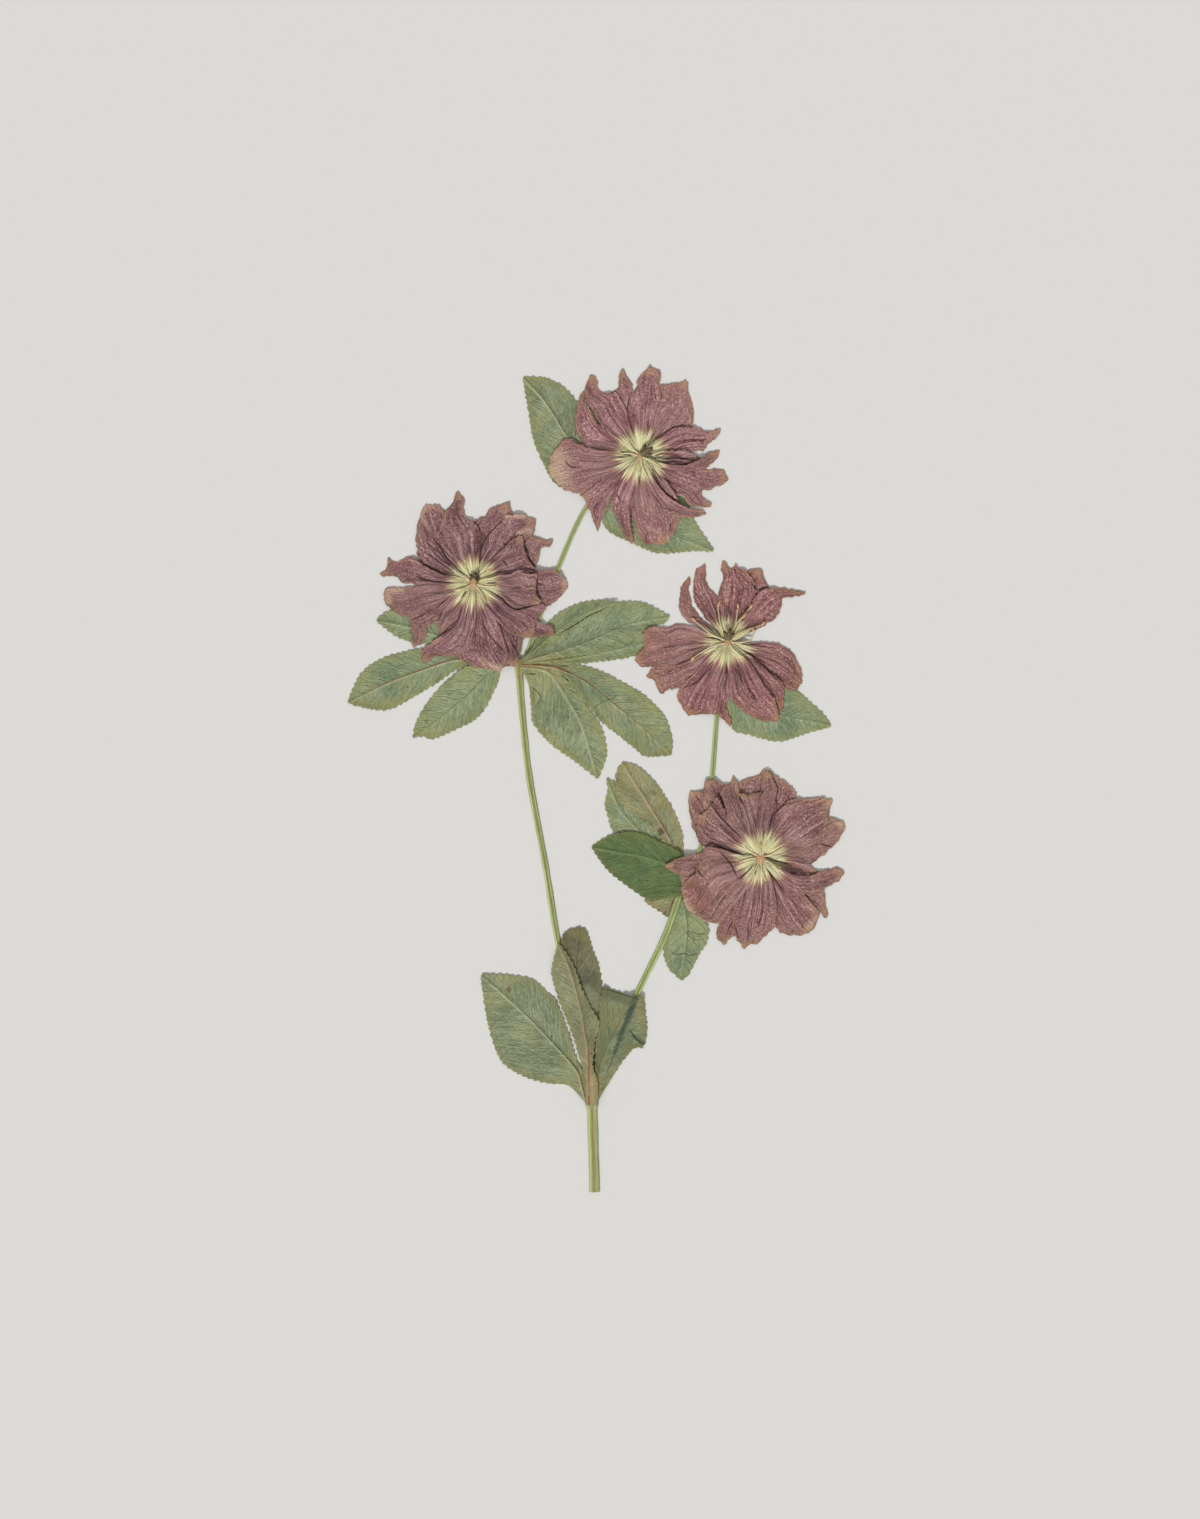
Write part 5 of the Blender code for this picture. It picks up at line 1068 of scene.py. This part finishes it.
def build_leaf(heap, name, left, right, rib, seed):
    plan, offset, along = leaf_grid(left, right, rib, seed)
    distance, rim = np.abs(offset), edge_distance(plan)
    lean = STEEP_LEAN.get(name, VEIN_LEAN)
    turn = np.hypot(1, lean) / np.hypot(1, 1)
    forward, outward = (along - lean * distance) / turn, distance * turn
    phase = forward / VEIN_PITCH + 0.5 * (offset > 0)
    veins = np.exp(-(((phase % 1) - 0.5) * VEIN_PITCH / 0.5) ** 2)
    curl = fading(rim, 0, 2.2) * np.clip(0.5 + drift(seed + 5, *over(plan, 0.2)), 0, 1)
    relief = MIDRIB_RISE * np.exp(-(distance / 0.55) ** 2) + VEIN_RISE * veins
    relief += QUILT_RISE * swell(seed, *over(plan, 0.55)) + LEAF_CURL_RISE * curl
    bottom = np.maximum(heap.rest(plan) + rising(along, 0, 8) * relief, 0)
    top = bottom + LEAF_THICK
    heap.settle(plan, top)
    fold_offset, fold = folded(plan, LEAF_FOLD_SHADES.get(name, []))
    blade = np.dstack([offset, along, np.full(offset.shape, 3.1 * (seed % 17))])
    slant = np.dstack([forward, outward, 0 * offset])
    sheets = Sheets()
    sheets.add(plan, bottom, top, blade=blade, slant=slant, rim=rim, share=along / along.max(),
               stain=stained(plan, LEAF_STAINS_AND_SHADE.get(name, [])),
               yellow=stained(plan, LEAF_YELLOWS.get(name, []), 0.1), fold_offset=fold_offset, fold=fold)
    return sheets


def lay_strip(sheets, heap, line, widths, thick, seed, step=STEM_STEP, columns=15, lift=0.0, **facts):
    """A long pressed strip with a rounded back, such as a stem or a stamen."""
    middle = rounded(line, step)
    run = run_of(middle)
    share = run / run[-1]
    s = np.sin(np.linspace(-np.pi / 2, np.pi / 2, columns))[None]
    wide = np.interp(share, np.linspace(0, 1, len(widths)), widths) * (1 + 0.05 * drift(seed, run * 0.3))
    plan = middle[:, None] + sideways(middle)[:, None] * (s[..., None] * wide[:, None, None] / 2)
    bottom = heap.rest(plan) + lift
    back = np.sqrt(np.clip(1 - s**2, 0, 1))
    height = 0.25 + 0.75 * back + 0.05 * np.cos(s * 11) * back
    height = height + 0.04 * drift(seed + 30, run[:, None] * 0.8, s * 2)
    body = thick * (wide / max(widths))[:, None] ** 0.5
    top = bottom + body * height
    blade = np.dstack([s + 0 * top, run[:, None] + 0 * top, 0 * top + 5.0 * seed])
    share = share[:, None] + 0 * top
    sheets.add(plan, bottom + 0.1 * body * s**4, top, blade=blade, share=share, **facts)
    return plan, top


def build_stem(heap):
    sheets = Sheets()
    laid = []
    for number, (line, widths, thick, dry, brown) in enumerate(STEM_PARTS):
        lift = STEM_LIFT * number
        laid.append(lay_strip(sheets, heap, line, widths, thick, number, lift=lift, dry=dry, brown=brown))
    for plan, top in laid:
        heap.settle(plan, top)
    return sheets


def build_carpels(heap, centre, end):
    """Three flat pods that lean out of the middle of a bloom."""
    sheets = Sheets()
    centre = np.array(centre)
    lean = np.array(end) - centre
    for number, (swing, length) in enumerate(POD_SWINGS):
        tip = centre + turned(lean, swing) * length
        line = [centre + 0.12 * turned(lean, swing), centre + 0.6 * turned(lean, swing * 0.8), tip]
        plan, top = lay_strip(sheets, heap, line, POD_WIDTHS, POD_THICK, number + 60, 0.3, 9)
        heap.settle(plan, top, (centre, 1.6))
    return sheets


def build_stamens(heap, name, centre):
    """Thread-like filaments that end in small anthers."""
    filaments, anthers = Sheets(), Sheets()
    centre = np.array(centre)
    for number, (way, length) in enumerate(STAMENS[name]):
        lean = np.array(way[0], float) - centre
        bend = centre + 0.5 * turned(lean, 0.12 * (-1) ** number)
        line = [centre + lean / np.hypot(*lean), bend, *way]
        end, heading = np.array(way[-1], float), np.subtract(way[-1], line[-2])
        plan, top = lay_strip(filaments, heap, line, THREAD_WIDTHS, THREAD_THICK, number + 70, 0.4, 7)
        heap.settle(plan, top, (centre, 3.0))
        if length:
            along = turned(heading / np.hypot(*heading), 0.5 * np.sin(number * 2.3)) * length
            line = [end - 0.15 * along, end + 0.4 * along, end + along]
            lay_strip(anthers, heap, line, ANTHER_WIDTHS, ANTHER_THICK, number + 90, 0.3, 9)
    return filaments, anthers


def build_knob(heap, name, centre):
    """The small dome where petals and stamens join."""
    radius = KNOB_RADIUS[name]
    u, v = np.meshgrid(np.linspace(-1, 1, 13), np.linspace(-1, 1, 13), indexing="ij")
    disc = np.dstack([u * np.sqrt(1 - v**2 / 2), v * np.sqrt(1 - u**2 / 2)])
    uneven = 1 + 0.07 * drift(len(name), *over(disc, 3))
    plan = np.array(centre) + disc * (radius, KNOB_LENGTH * radius) * uneven[..., None]
    level = heap.height[heap.within(centre, radius)].max()
    from_middle = apart(disc, 0)
    dome = np.sqrt(np.clip(1 - from_middle**2, 0, 1)) * (0.8 + 0.2 * uneven)
    top = level + KNOB_LIFT + KNOB_DOME * dome
    turn = 4 * np.arctan2(disc[..., 1], disc[..., 0]) / np.pi
    sheets = Sheets()
    sheets.add(plan, np.full(u.shape, level - KNOB_SINK), top, share=0 * u,
               blade=np.dstack([from_middle, turn, 0 * u + 3.0 * len(name)]))
    return sheets


class Field:
    """A number, place or colour that varies over the surface. Sums of fields add the nodes they need."""

    def __init__(self, nodes, socket):
        self.nodes, self.socket = nodes, socket

    def __add__(self, other):
        return self.nodes.math("ADD", self, other)

    def __sub__(self, other):
        return self.nodes.math("SUBTRACT", self, other)

    def __mul__(self, other):
        return self.nodes.math("MULTIPLY", self, other)

    def __truediv__(self, other):
        return self.nodes.math("DIVIDE", self, other)

    def __rtruediv__(self, other):
        return self.nodes.math("DIVIDE", other, self)

    def __abs__(self):
        return self.nodes.math("ABSOLUTE", self)

    __radd__, __rmul__ = __add__, __mul__

    def ramp(self, low, high, to_low=0.0, to_high=1.0):
        inputs = {"Value": self, "From Min": low, "From Max": high, "To Min": to_low, "To Max": to_high}
        return self.nodes.field("MapRange", inputs, "Result", interpolation_type="SMOOTHSTEP")

    def fade(self, full, gone):
        return self.ramp(full, gone, 1.0, 0.0)

    def noise(self, size, detail=2.0, warp=0.0):
        inputs = {"Vector": self, "Scale": 1 / size, "Detail": detail, "Distortion": warp}
        return self.nodes.field("TexNoise", inputs, "Fac")

    def scaled(self, *scale):
        return self.nodes.field("VectorMath", {0: self, 1: scale}, operation="MULTIPLY")

    def parts(self):
        return list(self.nodes.fields("SeparateXYZ", {0: self}).values())


class Nodes:
    """Short ways to add and join the nodes of one material or effect."""

    def __init__(self, tree):
        self.tree = tree

    def node(self, kind, inputs, **settings):
        node = self.tree.nodes.new("ShaderNode" + kind)
        for setting, value in settings.items():
            setattr(node, setting, value)
        for socket, value in inputs.items():
            self.plug(node.inputs[socket], value)
        return node

    def field(self, kind, inputs, output=0, **settings):
        """Adds a node and gives one of its outputs."""
        return Field(self, self.node(kind, inputs, **settings).outputs[output])

    def fields(self, kind, inputs):
        """Adds a node and gives all of its outputs by name."""
        return {socket.name: Field(self, socket) for socket in self.node(kind, inputs).outputs}

    def plug(self, socket, value):
        if isinstance(value, Field):
            self.tree.links.new(value.socket, socket)
        else:
            socket.default_value = value

    def effect(self, name, place, **inputs):
        return self.field("Group", {"Place": place, **inputs}, node_tree=bpy.data.node_groups[name])

    def streaks(self, place, width, length, waver=0.1, mark_scale=1.0):
        """Streaks along the second axis of a place. Another mark scale gives another set."""
        moved = place.scaled(1.0, 1.0, mark_scale)
        return self.effect("long_streaks", moved, Width=width, Length=length, Waver=waver)

    def fact(self, name):
        """A number kept at the corners of the mesh."""
        return self.field("Attribute", {}, "Fac", attribute_name=name)

    def place(self, name):
        """A position kept at the corners of the mesh."""
        return self.field("Attribute", {}, "Vector", attribute_name=name)

    def chance(self, mark):
        """A number between 0 and 1 for each sheet."""
        return self.field("TexWhiteNoise", {"W": mark}, "Value", noise_dimensions="1D")

    def math(self, operation, a, b=0.0):
        return self.field("Math", {0: a, 1: b}, operation=operation)

    def joined(self, x, y, z):
        return self.field("CombineXYZ", {0: x, 1: y, 2: z})

    def mix(self, share, *tones):
        first, second = (colour if isinstance(colour, Field) else tone(*colour) for colour in tones)
        return self.field("Mix", {0: share, 6: first, 7: second}, 2, data_type="RGBA")


class Finish(Nodes):
    """A material, with the colour painted on it so far."""

    def __init__(self, name, roughness, gloss):
        self.material = bpy.data.materials.new(name)
        self.material.use_nodes = True
        super().__init__(self.material.node_tree)
        self.shader = self.tree.nodes["Principled BSDF"]
        self.shader.inputs["Roughness"].default_value = roughness
        self.shader.inputs["Specular IOR Level"].default_value = gloss

    def start(self, share, first, second):
        self.colour = self.mix(share, first, second)

    def paint(self, share, colour):
        self.colour = self.mix(share, self.colour, colour)

    def folds(self, wander, full, gone):
        """Painted shade along folds and seams, with its soft edge in shares of the usual half width."""
        away = abs(self.fact("fold_offset") + wander)
        return away.fade(full * FOLD_SHADE_HALF, gone * FOLD_SHADE_HALF) * self.fact("fold")

    def done(self, height, depth, strength):
        """Joins the colour and a fine relief of depth millimetres to the shader."""
        bump = {"Height": height, "Distance": depth * MM, "Strength": strength}
        self.plug(self.shader.inputs["Base Color"], self.colour)
        self.plug(self.shader.inputs["Normal"], self.field("Bump", bump, "Normal"))
        return self.material


def tone(red, green, blue):
    """A colour as the eye reads it, 0 to 255, turned into light."""
    shares = np.array([red, green, blue]) / 255
    light = np.where(shares <= 0.04045, shares / 12.92, ((shares + 0.055) / 1.055) ** 2.4)
    return (*light.tolist(), 1.0)


def vein_net(nodes, place, cell, width):
    """A net of fine veins."""
    bend = nodes.field("TexNoise", {"Vector": place, "Scale": 0.9, "Detail": 2.0}, "Color")
    moved = nodes.field("VectorMath", {0: bend, 1: place}, operation="ADD")
    inputs = {"Vector": moved, "Scale": 1.0 / cell}
    edge = nodes.field("TexVoronoi", inputs, "Distance", feature="DISTANCE_TO_EDGE")
    return (edge / (width / cell)).fade(0.3, 2.0)


def long_streaks(nodes, place, width, length, waver):
    """Streaks that follow a petal, a side vein or a stem."""
    x, y, z = place.parts()
    inputs = {"Scale": 1.0, "Detail": 3.0, "Roughness": 0.6, "Distortion": waver}
    moved = nodes.joined(x / width, y / length, z)
    return nodes.field("TexNoise", {"Vector": moved, **inputs}, "Fac").ramp(0.34, 0.66)


def worn_rim(nodes, place, rim, width, unevenness):
    """A band along the edge, broken up so that it is never even."""
    wander = (place.noise(2.6, 3.0) - 0.5) * unevenness
    return (rim / width + wander).fade(0.3, 1.0)


def specks(nodes, place, spacing, size, share):
    """Small scattered spots."""
    spots = nodes.fields("TexVoronoi", {"Vector": place, "Scale": 1.0 / spacing})
    near = nodes.math("LESS_THAN", spots["Distance"] * spacing, size)
    return near * nodes.math("LESS_THAN", nodes.field("SeparateColor", {0: spots["Color"]}), share)


def mottle(nodes, place, size):
    """Soft patches at two sizes."""
    pace = 1.0 / size
    wide = nodes.field("TexNoise", {"Vector": place, "Scale": pace, "Detail": 2.0}, "Fac")
    fine = nodes.field("TexNoise", {"Vector": place, "Scale": pace * 6.0, "Detail": 2.0}, "Fac")
    return (wide * 0.7 + fine * 0.3).ramp(0.38, 0.62)


def build_effect(fill, output, **inputs):
    """Turns one of the effects above into a node group with named inputs and one named output."""
    tree = bpy.data.node_groups.new(fill.__name__, "ShaderNodeTree")
    tree.interface.new_socket("Place", in_out="INPUT", socket_type="NodeSocketVector")
    for name, value in inputs.items():
        made = tree.interface.new_socket(name, in_out="INPUT", socket_type="NodeSocketFloat")
        made.default_value = value
    tree.interface.new_socket(output, in_out="OUTPUT", socket_type="NodeSocketFloat")
    nodes = Nodes(tree)
    given = tree.nodes.new("NodeGroupInput").outputs
    result = fill(nodes, *(Field(nodes, given[name]) for name in ("Place", *inputs)))
    nodes.plug(tree.nodes.new("NodeGroupOutput").inputs[0], result)


def petal_finish(name, light, base, dark, tip, star_reach):
    skin = Finish(name, 0.8, 0.2)
    grain, ray = skin.place("grain"), skin.place("ray")
    reach, rim, tip_share = skin.fact("reach"), skin.fact("rim"), skin.fact("tip")
    outward = reach.ramp(8, 26)
    own = skin.chance(ray.parts()[2])

    # Grains of skin, thin streaks, broad streaks and patches
    grains, thin = skin.streaks(grain, 0.38, 0.8, 0.5, 1.3), skin.streaks(grain, 0.62, 14.0, 0.2)
    broad, patches = skin.streaks(grain, 1.9, 26.0, 0.2, 2.1), skin.effect("mottle", grain, Size=7.0)
    level = grains * outward.ramp(0, 1, 0.22, 0.5) + thin * outward.ramp(0, 1, 0.42, 0.26)
    level = level + broad * outward.ramp(0, 1, 0.28, 0.12) + patches * 0.1 + reach.ramp(8, 22, -0.16, 0.0)
    skin.start(level.ramp(0.16, 0.5), dark, base)
    skin.paint(level.ramp(0.5, 0.9), light)

    # Each petal dries a little differently
    skin.paint(own.ramp(0.55, 1.0, 0.0, 0.4), (168, 132, 118))
    skin.paint(own.ramp(0.0, 0.35, 0.28, 0.0), (122, 84, 92))

    # Dark red net and pale violet lines
    net = skin.effect("vein_net", grain.scaled(1.0, 0.6, 1.0), Cell=1.3, Width=0.13)
    skin.paint(net * outward.ramp(0, 1, 0.1, 0.42), (118, 68, 72))
    violet = skin.streaks(grain, 1.1, 18.0, 0.1, 3.3).ramp(0.62, 0.95)
    skin.paint(violet * (reach.ramp(8, 11) * reach.ramp(14, 24, 1.0, 0.25)) * 0.35, (198, 168, 172))

    # Thin dark creases: their own darker colour, deepened with painted shade in the creases
    crease = abs(grain.scaled(1.0, 0.07, 1.0).noise(2.3, 2.0, 0.3) - 0.5).fade(0.003, 0.02)
    crease = crease * grain.scaled(1.0, 0.35, 2.0).noise(6.0).ramp(0.46, 0.6)
    skin.paint(crease * 0.75, (64, 36, 38))

    # Tan tips, pale worn edges and stains
    wander = grain.noise(2.2, 3.0) - 0.5
    skin.paint((tip_share + wander * 1.1).ramp(0.3, 0.8) * (0.45 + grains * 0.4), tip)
    band = skin.effect("worn_rim", grain, Rim=rim, Width=1.7, Unevenness=2.0)
    skin.paint(band * reach.ramp(17, 29, 0.0, 0.42) * (0.4 + grains), tip)
    skin.paint(skin.fact("stain") * (0.15 + thin * 0.75), (134, 82, 66))
    skin.paint(skin.fact("pale") * (0.3 + (grains * 0.5 + thin * 0.5) * 0.7), (212, 182, 156))

    # Cream star with soft, uneven rays and dark slits
    rays, fine_rays = ray.scaled(8.0, 8.0, 1.0).noise(1.0, 3.0), ray.scaled(34.0, 34.0, 1.0).noise(1.0)
    inside = (rays - 0.5) * 10.0 + (fine_rays - 0.5) * 9.0 + star_reach - reach
    skin.paint(inside.ramp(-4.0, -0.5, 0.0, 0.75), (168, 122, 106))
    cream = skin.mix(fine_rays.ramp(0.4, 0.6), (218, 210, 154), (244, 238, 186))
    cream = skin.mix(rays.ramp(0.52, 0.66, 0.0, 0.7), cream, (250, 246, 208))
    green = ray.scaled(5.0, 5.0, 3.0).noise(1.0).ramp(0.5, 0.66, 0.0, 0.3)
    cream = skin.mix(green, cream, (176, 176, 116))
    for pace, darkness in ((12.0, 0.66), (27.0, 0.34)):
        slits = abs(ray.scaled(pace, pace, 2.0).noise(1.0) - 0.45).ramp(0.004, 0.026, darkness, 0.0)
        cream = skin.mix(slits, cream, (104, 82, 54))
    skin.paint(inside.ramp(-2.4, 1.6), cream)

    # Painted shade along folds and seams between petals
    fold = skin.folds(wander * 0.5, 0.4, 1.5)
    skin.paint(fold * 0.92, (46, 26, 28))
    height = net * -0.3 + grains * 0.4 + thin * 0.5 + broad * 0.35 + crease * -0.8 + fold * -1.2
    return skin.done(height, 0.28, 0.85)


def leaf_finish(name, light, base, dark, margin, rib, rib_core, stain):
    skin = Finish(name, 0.72, 0.25)
    blade, rim, share = skin.place("blade"), skin.fact("rim"), skin.fact("share")
    offset, along, mark = blade.parts()
    right_half = skin.math("GREATER_THAN", offset, 0.0)
    forward, outward, _ = skin.place("slant").parts()
    slant = skin.joined(forward, outward, mark + right_half * 3.0)
    own = skin.chance(mark)

    # Fine strokes along the side veins, with softer patches under them
    fine, medium = skin.streaks(slant, 0.4, 0.9, 0.8, 1.3), skin.streaks(slant, 0.8, 3.6, 0.6, 2.2)
    broad, patches = skin.streaks(slant, 2.6, 10.0, 0.5), skin.effect("mottle", blade, Size=10.0)
    level = fine * 0.4 + medium * 0.26 + broad * 0.12 + patches * 0.22
    skin.start(level.ramp(0.16, 0.52), dark, base)
    skin.paint(level.ramp(0.5, 0.86), light)
    skin.paint(skin.streaks(slant, 0.36, 1.4, 0.5, 4.1).fade(0.0, 0.3) * 0.4, dark)
    skin.paint(own.ramp(0.5, 1.0, 0.0, 0.15), (160, 158, 108))
    skin.paint(own.ramp(0.0, 0.5, 0.12, 0.0), (116, 138, 108))

    # Yellowed and tan places, in fine lines
    skin.paint(blade.noise(13.0).ramp(0.45, 0.7, 0.0, 0.35), margin)
    skin.paint(blade.scaled(1.0, 1.0, 5.0).noise(1.6, 3.0).ramp(0.56, 0.72, 0.0, 0.3), (136, 118, 82))
    tan = skin.mix(share.ramp(0.1, 0.35), (190, 152, 114), (172, 154, 98))
    skin.paint(skin.fact("yellow") * (0.35 + medium * 0.6), tan)

    # Side veins: a dark line, the vein's own darker colour with painted shade in its groove, and a painted
    # highlight beside it
    wander = blade.noise(6.0, 3.0) - 0.5
    row = skin.math("FRACT", (forward + wander * 5.0) / VEIN_PITCH + right_half * 0.5)
    from_vein = (row - 0.5) * VEIN_PITCH
    vein, vein_highlight = abs(from_vein).fade(0.08, 0.36), abs(from_vein + 0.45).fade(0.1, 0.42)
    seen = blade.scaled(1.0, 1.0, 2.0).noise(4.0).ramp(0.4, 0.62)
    skin.paint(vein * (seen * 0.55), dark)
    skin.paint(vein_highlight * (seen * 0.45), light)

    # Yellowed margin with dark strokes that run to the teeth
    for width, unevenness, strength in ((3.6, 1.5, 0.05 + broad * 0.35), (1.1, 1.3, 0.28)):
        band = skin.effect("worn_rim", blade, Rim=rim, Width=width, Unevenness=unevenness)
        skin.paint(band * strength, margin)
    skin.paint(rim.fade(0.8, 3.2) * medium.ramp(0.55, 0.9) * 0.42, (104, 106, 60))

    # Specks, stains, painted shade, and the midrib with a painted highlight along one side
    skin.paint(skin.effect("specks", blade) * 0.75, (84, 66, 44))
    # Real stains, and on two leaves painted shade where something lies under them
    skin.paint(skin.fact("stain") * (0.65 + fine * 0.35), stain)
    # The rib tone is a painted highlight along one side of the midrib
    rib_highlight = (abs(offset + 0.5) / 0.42).fade(0.4, 1.2)
    skin.paint(rib_highlight * share.ramp(0.85, 1.0, 0.5, 0.1), rib)
    line = (abs(offset) / share.ramp(0.0, 0.95, 0.42, 0.14)).fade(0.5, 1.2)
    broken = blade.scaled(0.3, 1.0, 1.0).noise(5.0).ramp(0.36, 0.55, 0.45, 1.0)
    line = line * (broken * share.ramp(0.75, 1.0, 0.9, 0.2))
    skin.paint(line, rib_core)

    # Painted shade along folds and seams between leaves
    fold = skin.folds(wander * 0.3, 0.3, 1.1)
    skin.paint(fold * 0.9, (48, 46, 34))
    height = vein * -0.5 + fine * 0.35 + medium * 0.4 + broad * 0.25 + line * -0.5 + fold * -0.8
    return skin.done(height, 0.26, 0.85)


def stem_finish(name):
    skin = Finish(name, 0.55, 0.35)
    dry, brown = skin.fact("dry"), skin.fact("brown")
    side, along, mark = skin.place("blade").parts()
    distance, wide = abs(side), skin.joined(side * 1.6, along, mark)

    # Green ridges where it is fresh, straw where it has dried
    green = skin.mix(distance.ramp(0.1, 0.45), (122, 148, 74), (166, 184, 104))
    green = skin.mix(distance.ramp(0.4, 0.62), green, (206, 212, 152))
    green = skin.mix(distance.ramp(0.7, 0.95), green, (140, 160, 88))
    straw = skin.mix(distance.ramp(0.1, 0.6), (160, 150, 100), (188, 186, 138))
    skin.start(dry, green, straw)
    dark_streaks = skin.streaks(wide, 0.35, 14.0)
    skin.paint(dark_streaks * 0.4, (118, 128, 70))
    skin.paint(skin.streaks(wide, 0.3, 9.0, mark_scale=1.9) * 0.3, (206, 210, 156))
    brown_streaks = skin.streaks(wide, 0.5, 30.0, mark_scale=2.7).ramp(0.5, 1.0)
    skin.paint(brown_streaks * (0.12 + dry * 0.3), (126, 92, 58))

    # A brown line near the middle
    line = (abs(side - 0.12) / brown.ramp(0.75, 1.0, 1.0, 2.4)).fade(0.1, 0.32)
    fading_line = skin.joined(0.0, along, mark).noise(12.0).ramp(0.3, 0.6, 0.4, 1.0)
    skin.paint(line * fading_line * brown * 0.85, (148, 98, 58))
    skin.paint(skin.effect("specks", wide, Share=0.25) * 0.7, (84, 62, 40))
    return skin.done(dark_streaks + wide.noise(0.7, 3.0) * 0.4, 0.25, 0.8)


def heart_finish(name, middle, edge, end, streak):
    """Carpels, stamens and knobs: one tone along the middle, one at the sides and one at the far end."""
    skin = Finish(name, 0.6, 0.3)
    side, along, mark = skin.place("blade").parts()
    wide = skin.joined(side * 0.8, along, mark)
    skin.start(abs(side).ramp(0.3, 1.0), middle, edge)
    lines = skin.effect("long_streaks", wide, Width=0.3, Length=3.0)
    skin.paint(lines * 0.4, streak)
    skin.paint(skin.effect("mottle", wide, Size=1.4) * 0.3, end)
    skin.paint(skin.fact("share").ramp(0.72, 0.84), end)
    return skin.done(lines + wide.noise(0.4, 3.0), 0.2, 0.8)


def show(sheets, name, finish, node):
    piece = sheets.piece(name, finish)
    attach(piece, "root")
    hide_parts(node)


def build_spray():
    heap = Heap(*ROOM)
    build_effect(vein_net, "Net", Cell=1.1, Width=0.12)
    build_effect(long_streaks, "Streaks", Width=1.0, Length=20.0, Waver=0.0)
    build_effect(worn_rim, "Band", Rim=0.0, Width=1.0, Unevenness=0.5)
    build_effect(specks, "Specks", Spacing=5.0, Size=0.4, Share=0.3)
    build_effect(mottle, "Mottle", Size=6.0)
    leaf_skins = {name: leaf_finish(name + "_leaf_skin", *tones) for name, tones in LEAF_TONES.items()}
    hearts = {name: heart_finish(name + "_skin", *tones) for name, tones in HEART_TONES.items()}

    def lay_leaves(leaves, first):
        for number, (name, (left, right, rib, skin)) in enumerate(leaves.items()):
            blade = build_leaf(heap, name, left, right, rib, number + first)
            show(blade, name + "_blade", leaf_skins[skin], name)

    lay_leaves(LEAVES_UNDER_STEM, 1)
    show(build_stem(heap), "stem_branches", stem_finish("green_stem_skin"), "stem")
    lay_leaves(LEAVES_OVER_STEM, 11)
    for name, petals in PETALS.items():
        centre = MIDDLES[name]
        bloom, node = name + "_bloom", "heart_" + name
        skin = petal_finish(name + "_petal_skin", *PETAL_TONES[name])
        show(build_petals(heap, name, centre, petals), bloom + "_petals", skin, "petals_" + name)
        filaments, anthers = build_stamens(heap, name, centre)
        show(filaments, bloom + "_filaments", hearts["filament"], node)
        if anthers.count:
            show(anthers, bloom + "_anthers", hearts["anther"], node)
        if name in CARPELS:
            carpels = build_carpels(heap, centre, CARPELS[name])
            show(carpels, bloom + "_carpels", hearts["carpel"], node)
        show(build_knob(heap, name, centre), bloom + "_knob", hearts["knob"], node)


def build_studio():
    paper = bpy.data.materials.new("pale_floor_paper")
    paper.use_nodes = True
    shader = paper.node_tree.nodes["Principled BSDF"]
    shader.inputs["Base Color"].default_value = tone(*FLOOR_TONE)
    shader.inputs["Roughness"].default_value = 0.9
    mesh = bpy.data.meshes.new("pale_floor")
    corners = [(-1, -1), (1, -1), (1, 1), (-1, 1)]
    corners = [(x * FLOOR_HALF, y * FLOOR_HALF, FLOOR_LEVEL * MM) for x, y in corners]
    mesh.from_pydata(corners, [], [(0, 1, 2, 3)])
    floor = placed("pale_floor", mesh, paper)
    world = bpy.data.worlds.new("studio_air")
    world.use_nodes = True
    air = world.node_tree.nodes["Background"]
    air.inputs["Color"].default_value = (1.0, 1.0, 1.0, 1.0)
    air.inputs["Strength"].default_value = AIR_STRENGTH
    bpy.context.scene.world = world
    lamp = bpy.data.lights.new("soft_window", "SUN")
    lamp.energy, lamp.angle = LAMP_STRENGTH, radians(LAMP_SOFTNESS)
    light = bpy.data.objects.new("soft_window", lamp)
    light.rotation_euler = Vector(LAMP_FROM).to_track_quat("Z", "Y").to_euler()
    bpy.context.scene.collection.objects.link(light)


def build_camera():
    data = bpy.data.cameras.new("camera")
    data.lens, data.sensor_width = LENS, SENSOR
    camera = bpy.data.objects.new("camera", data)
    camera.location = (VIEW_MIDDLE[0] * MM, VIEW_MIDDLE[1] * MM, VIEW_TALL * MM * LENS / SENSOR)
    bpy.context.scene.collection.objects.link(camera)
    bpy.context.scene.camera = camera


build_spray()
build_studio()
build_camera()
bpy.context.scene.view_settings.view_transform = "Standard"
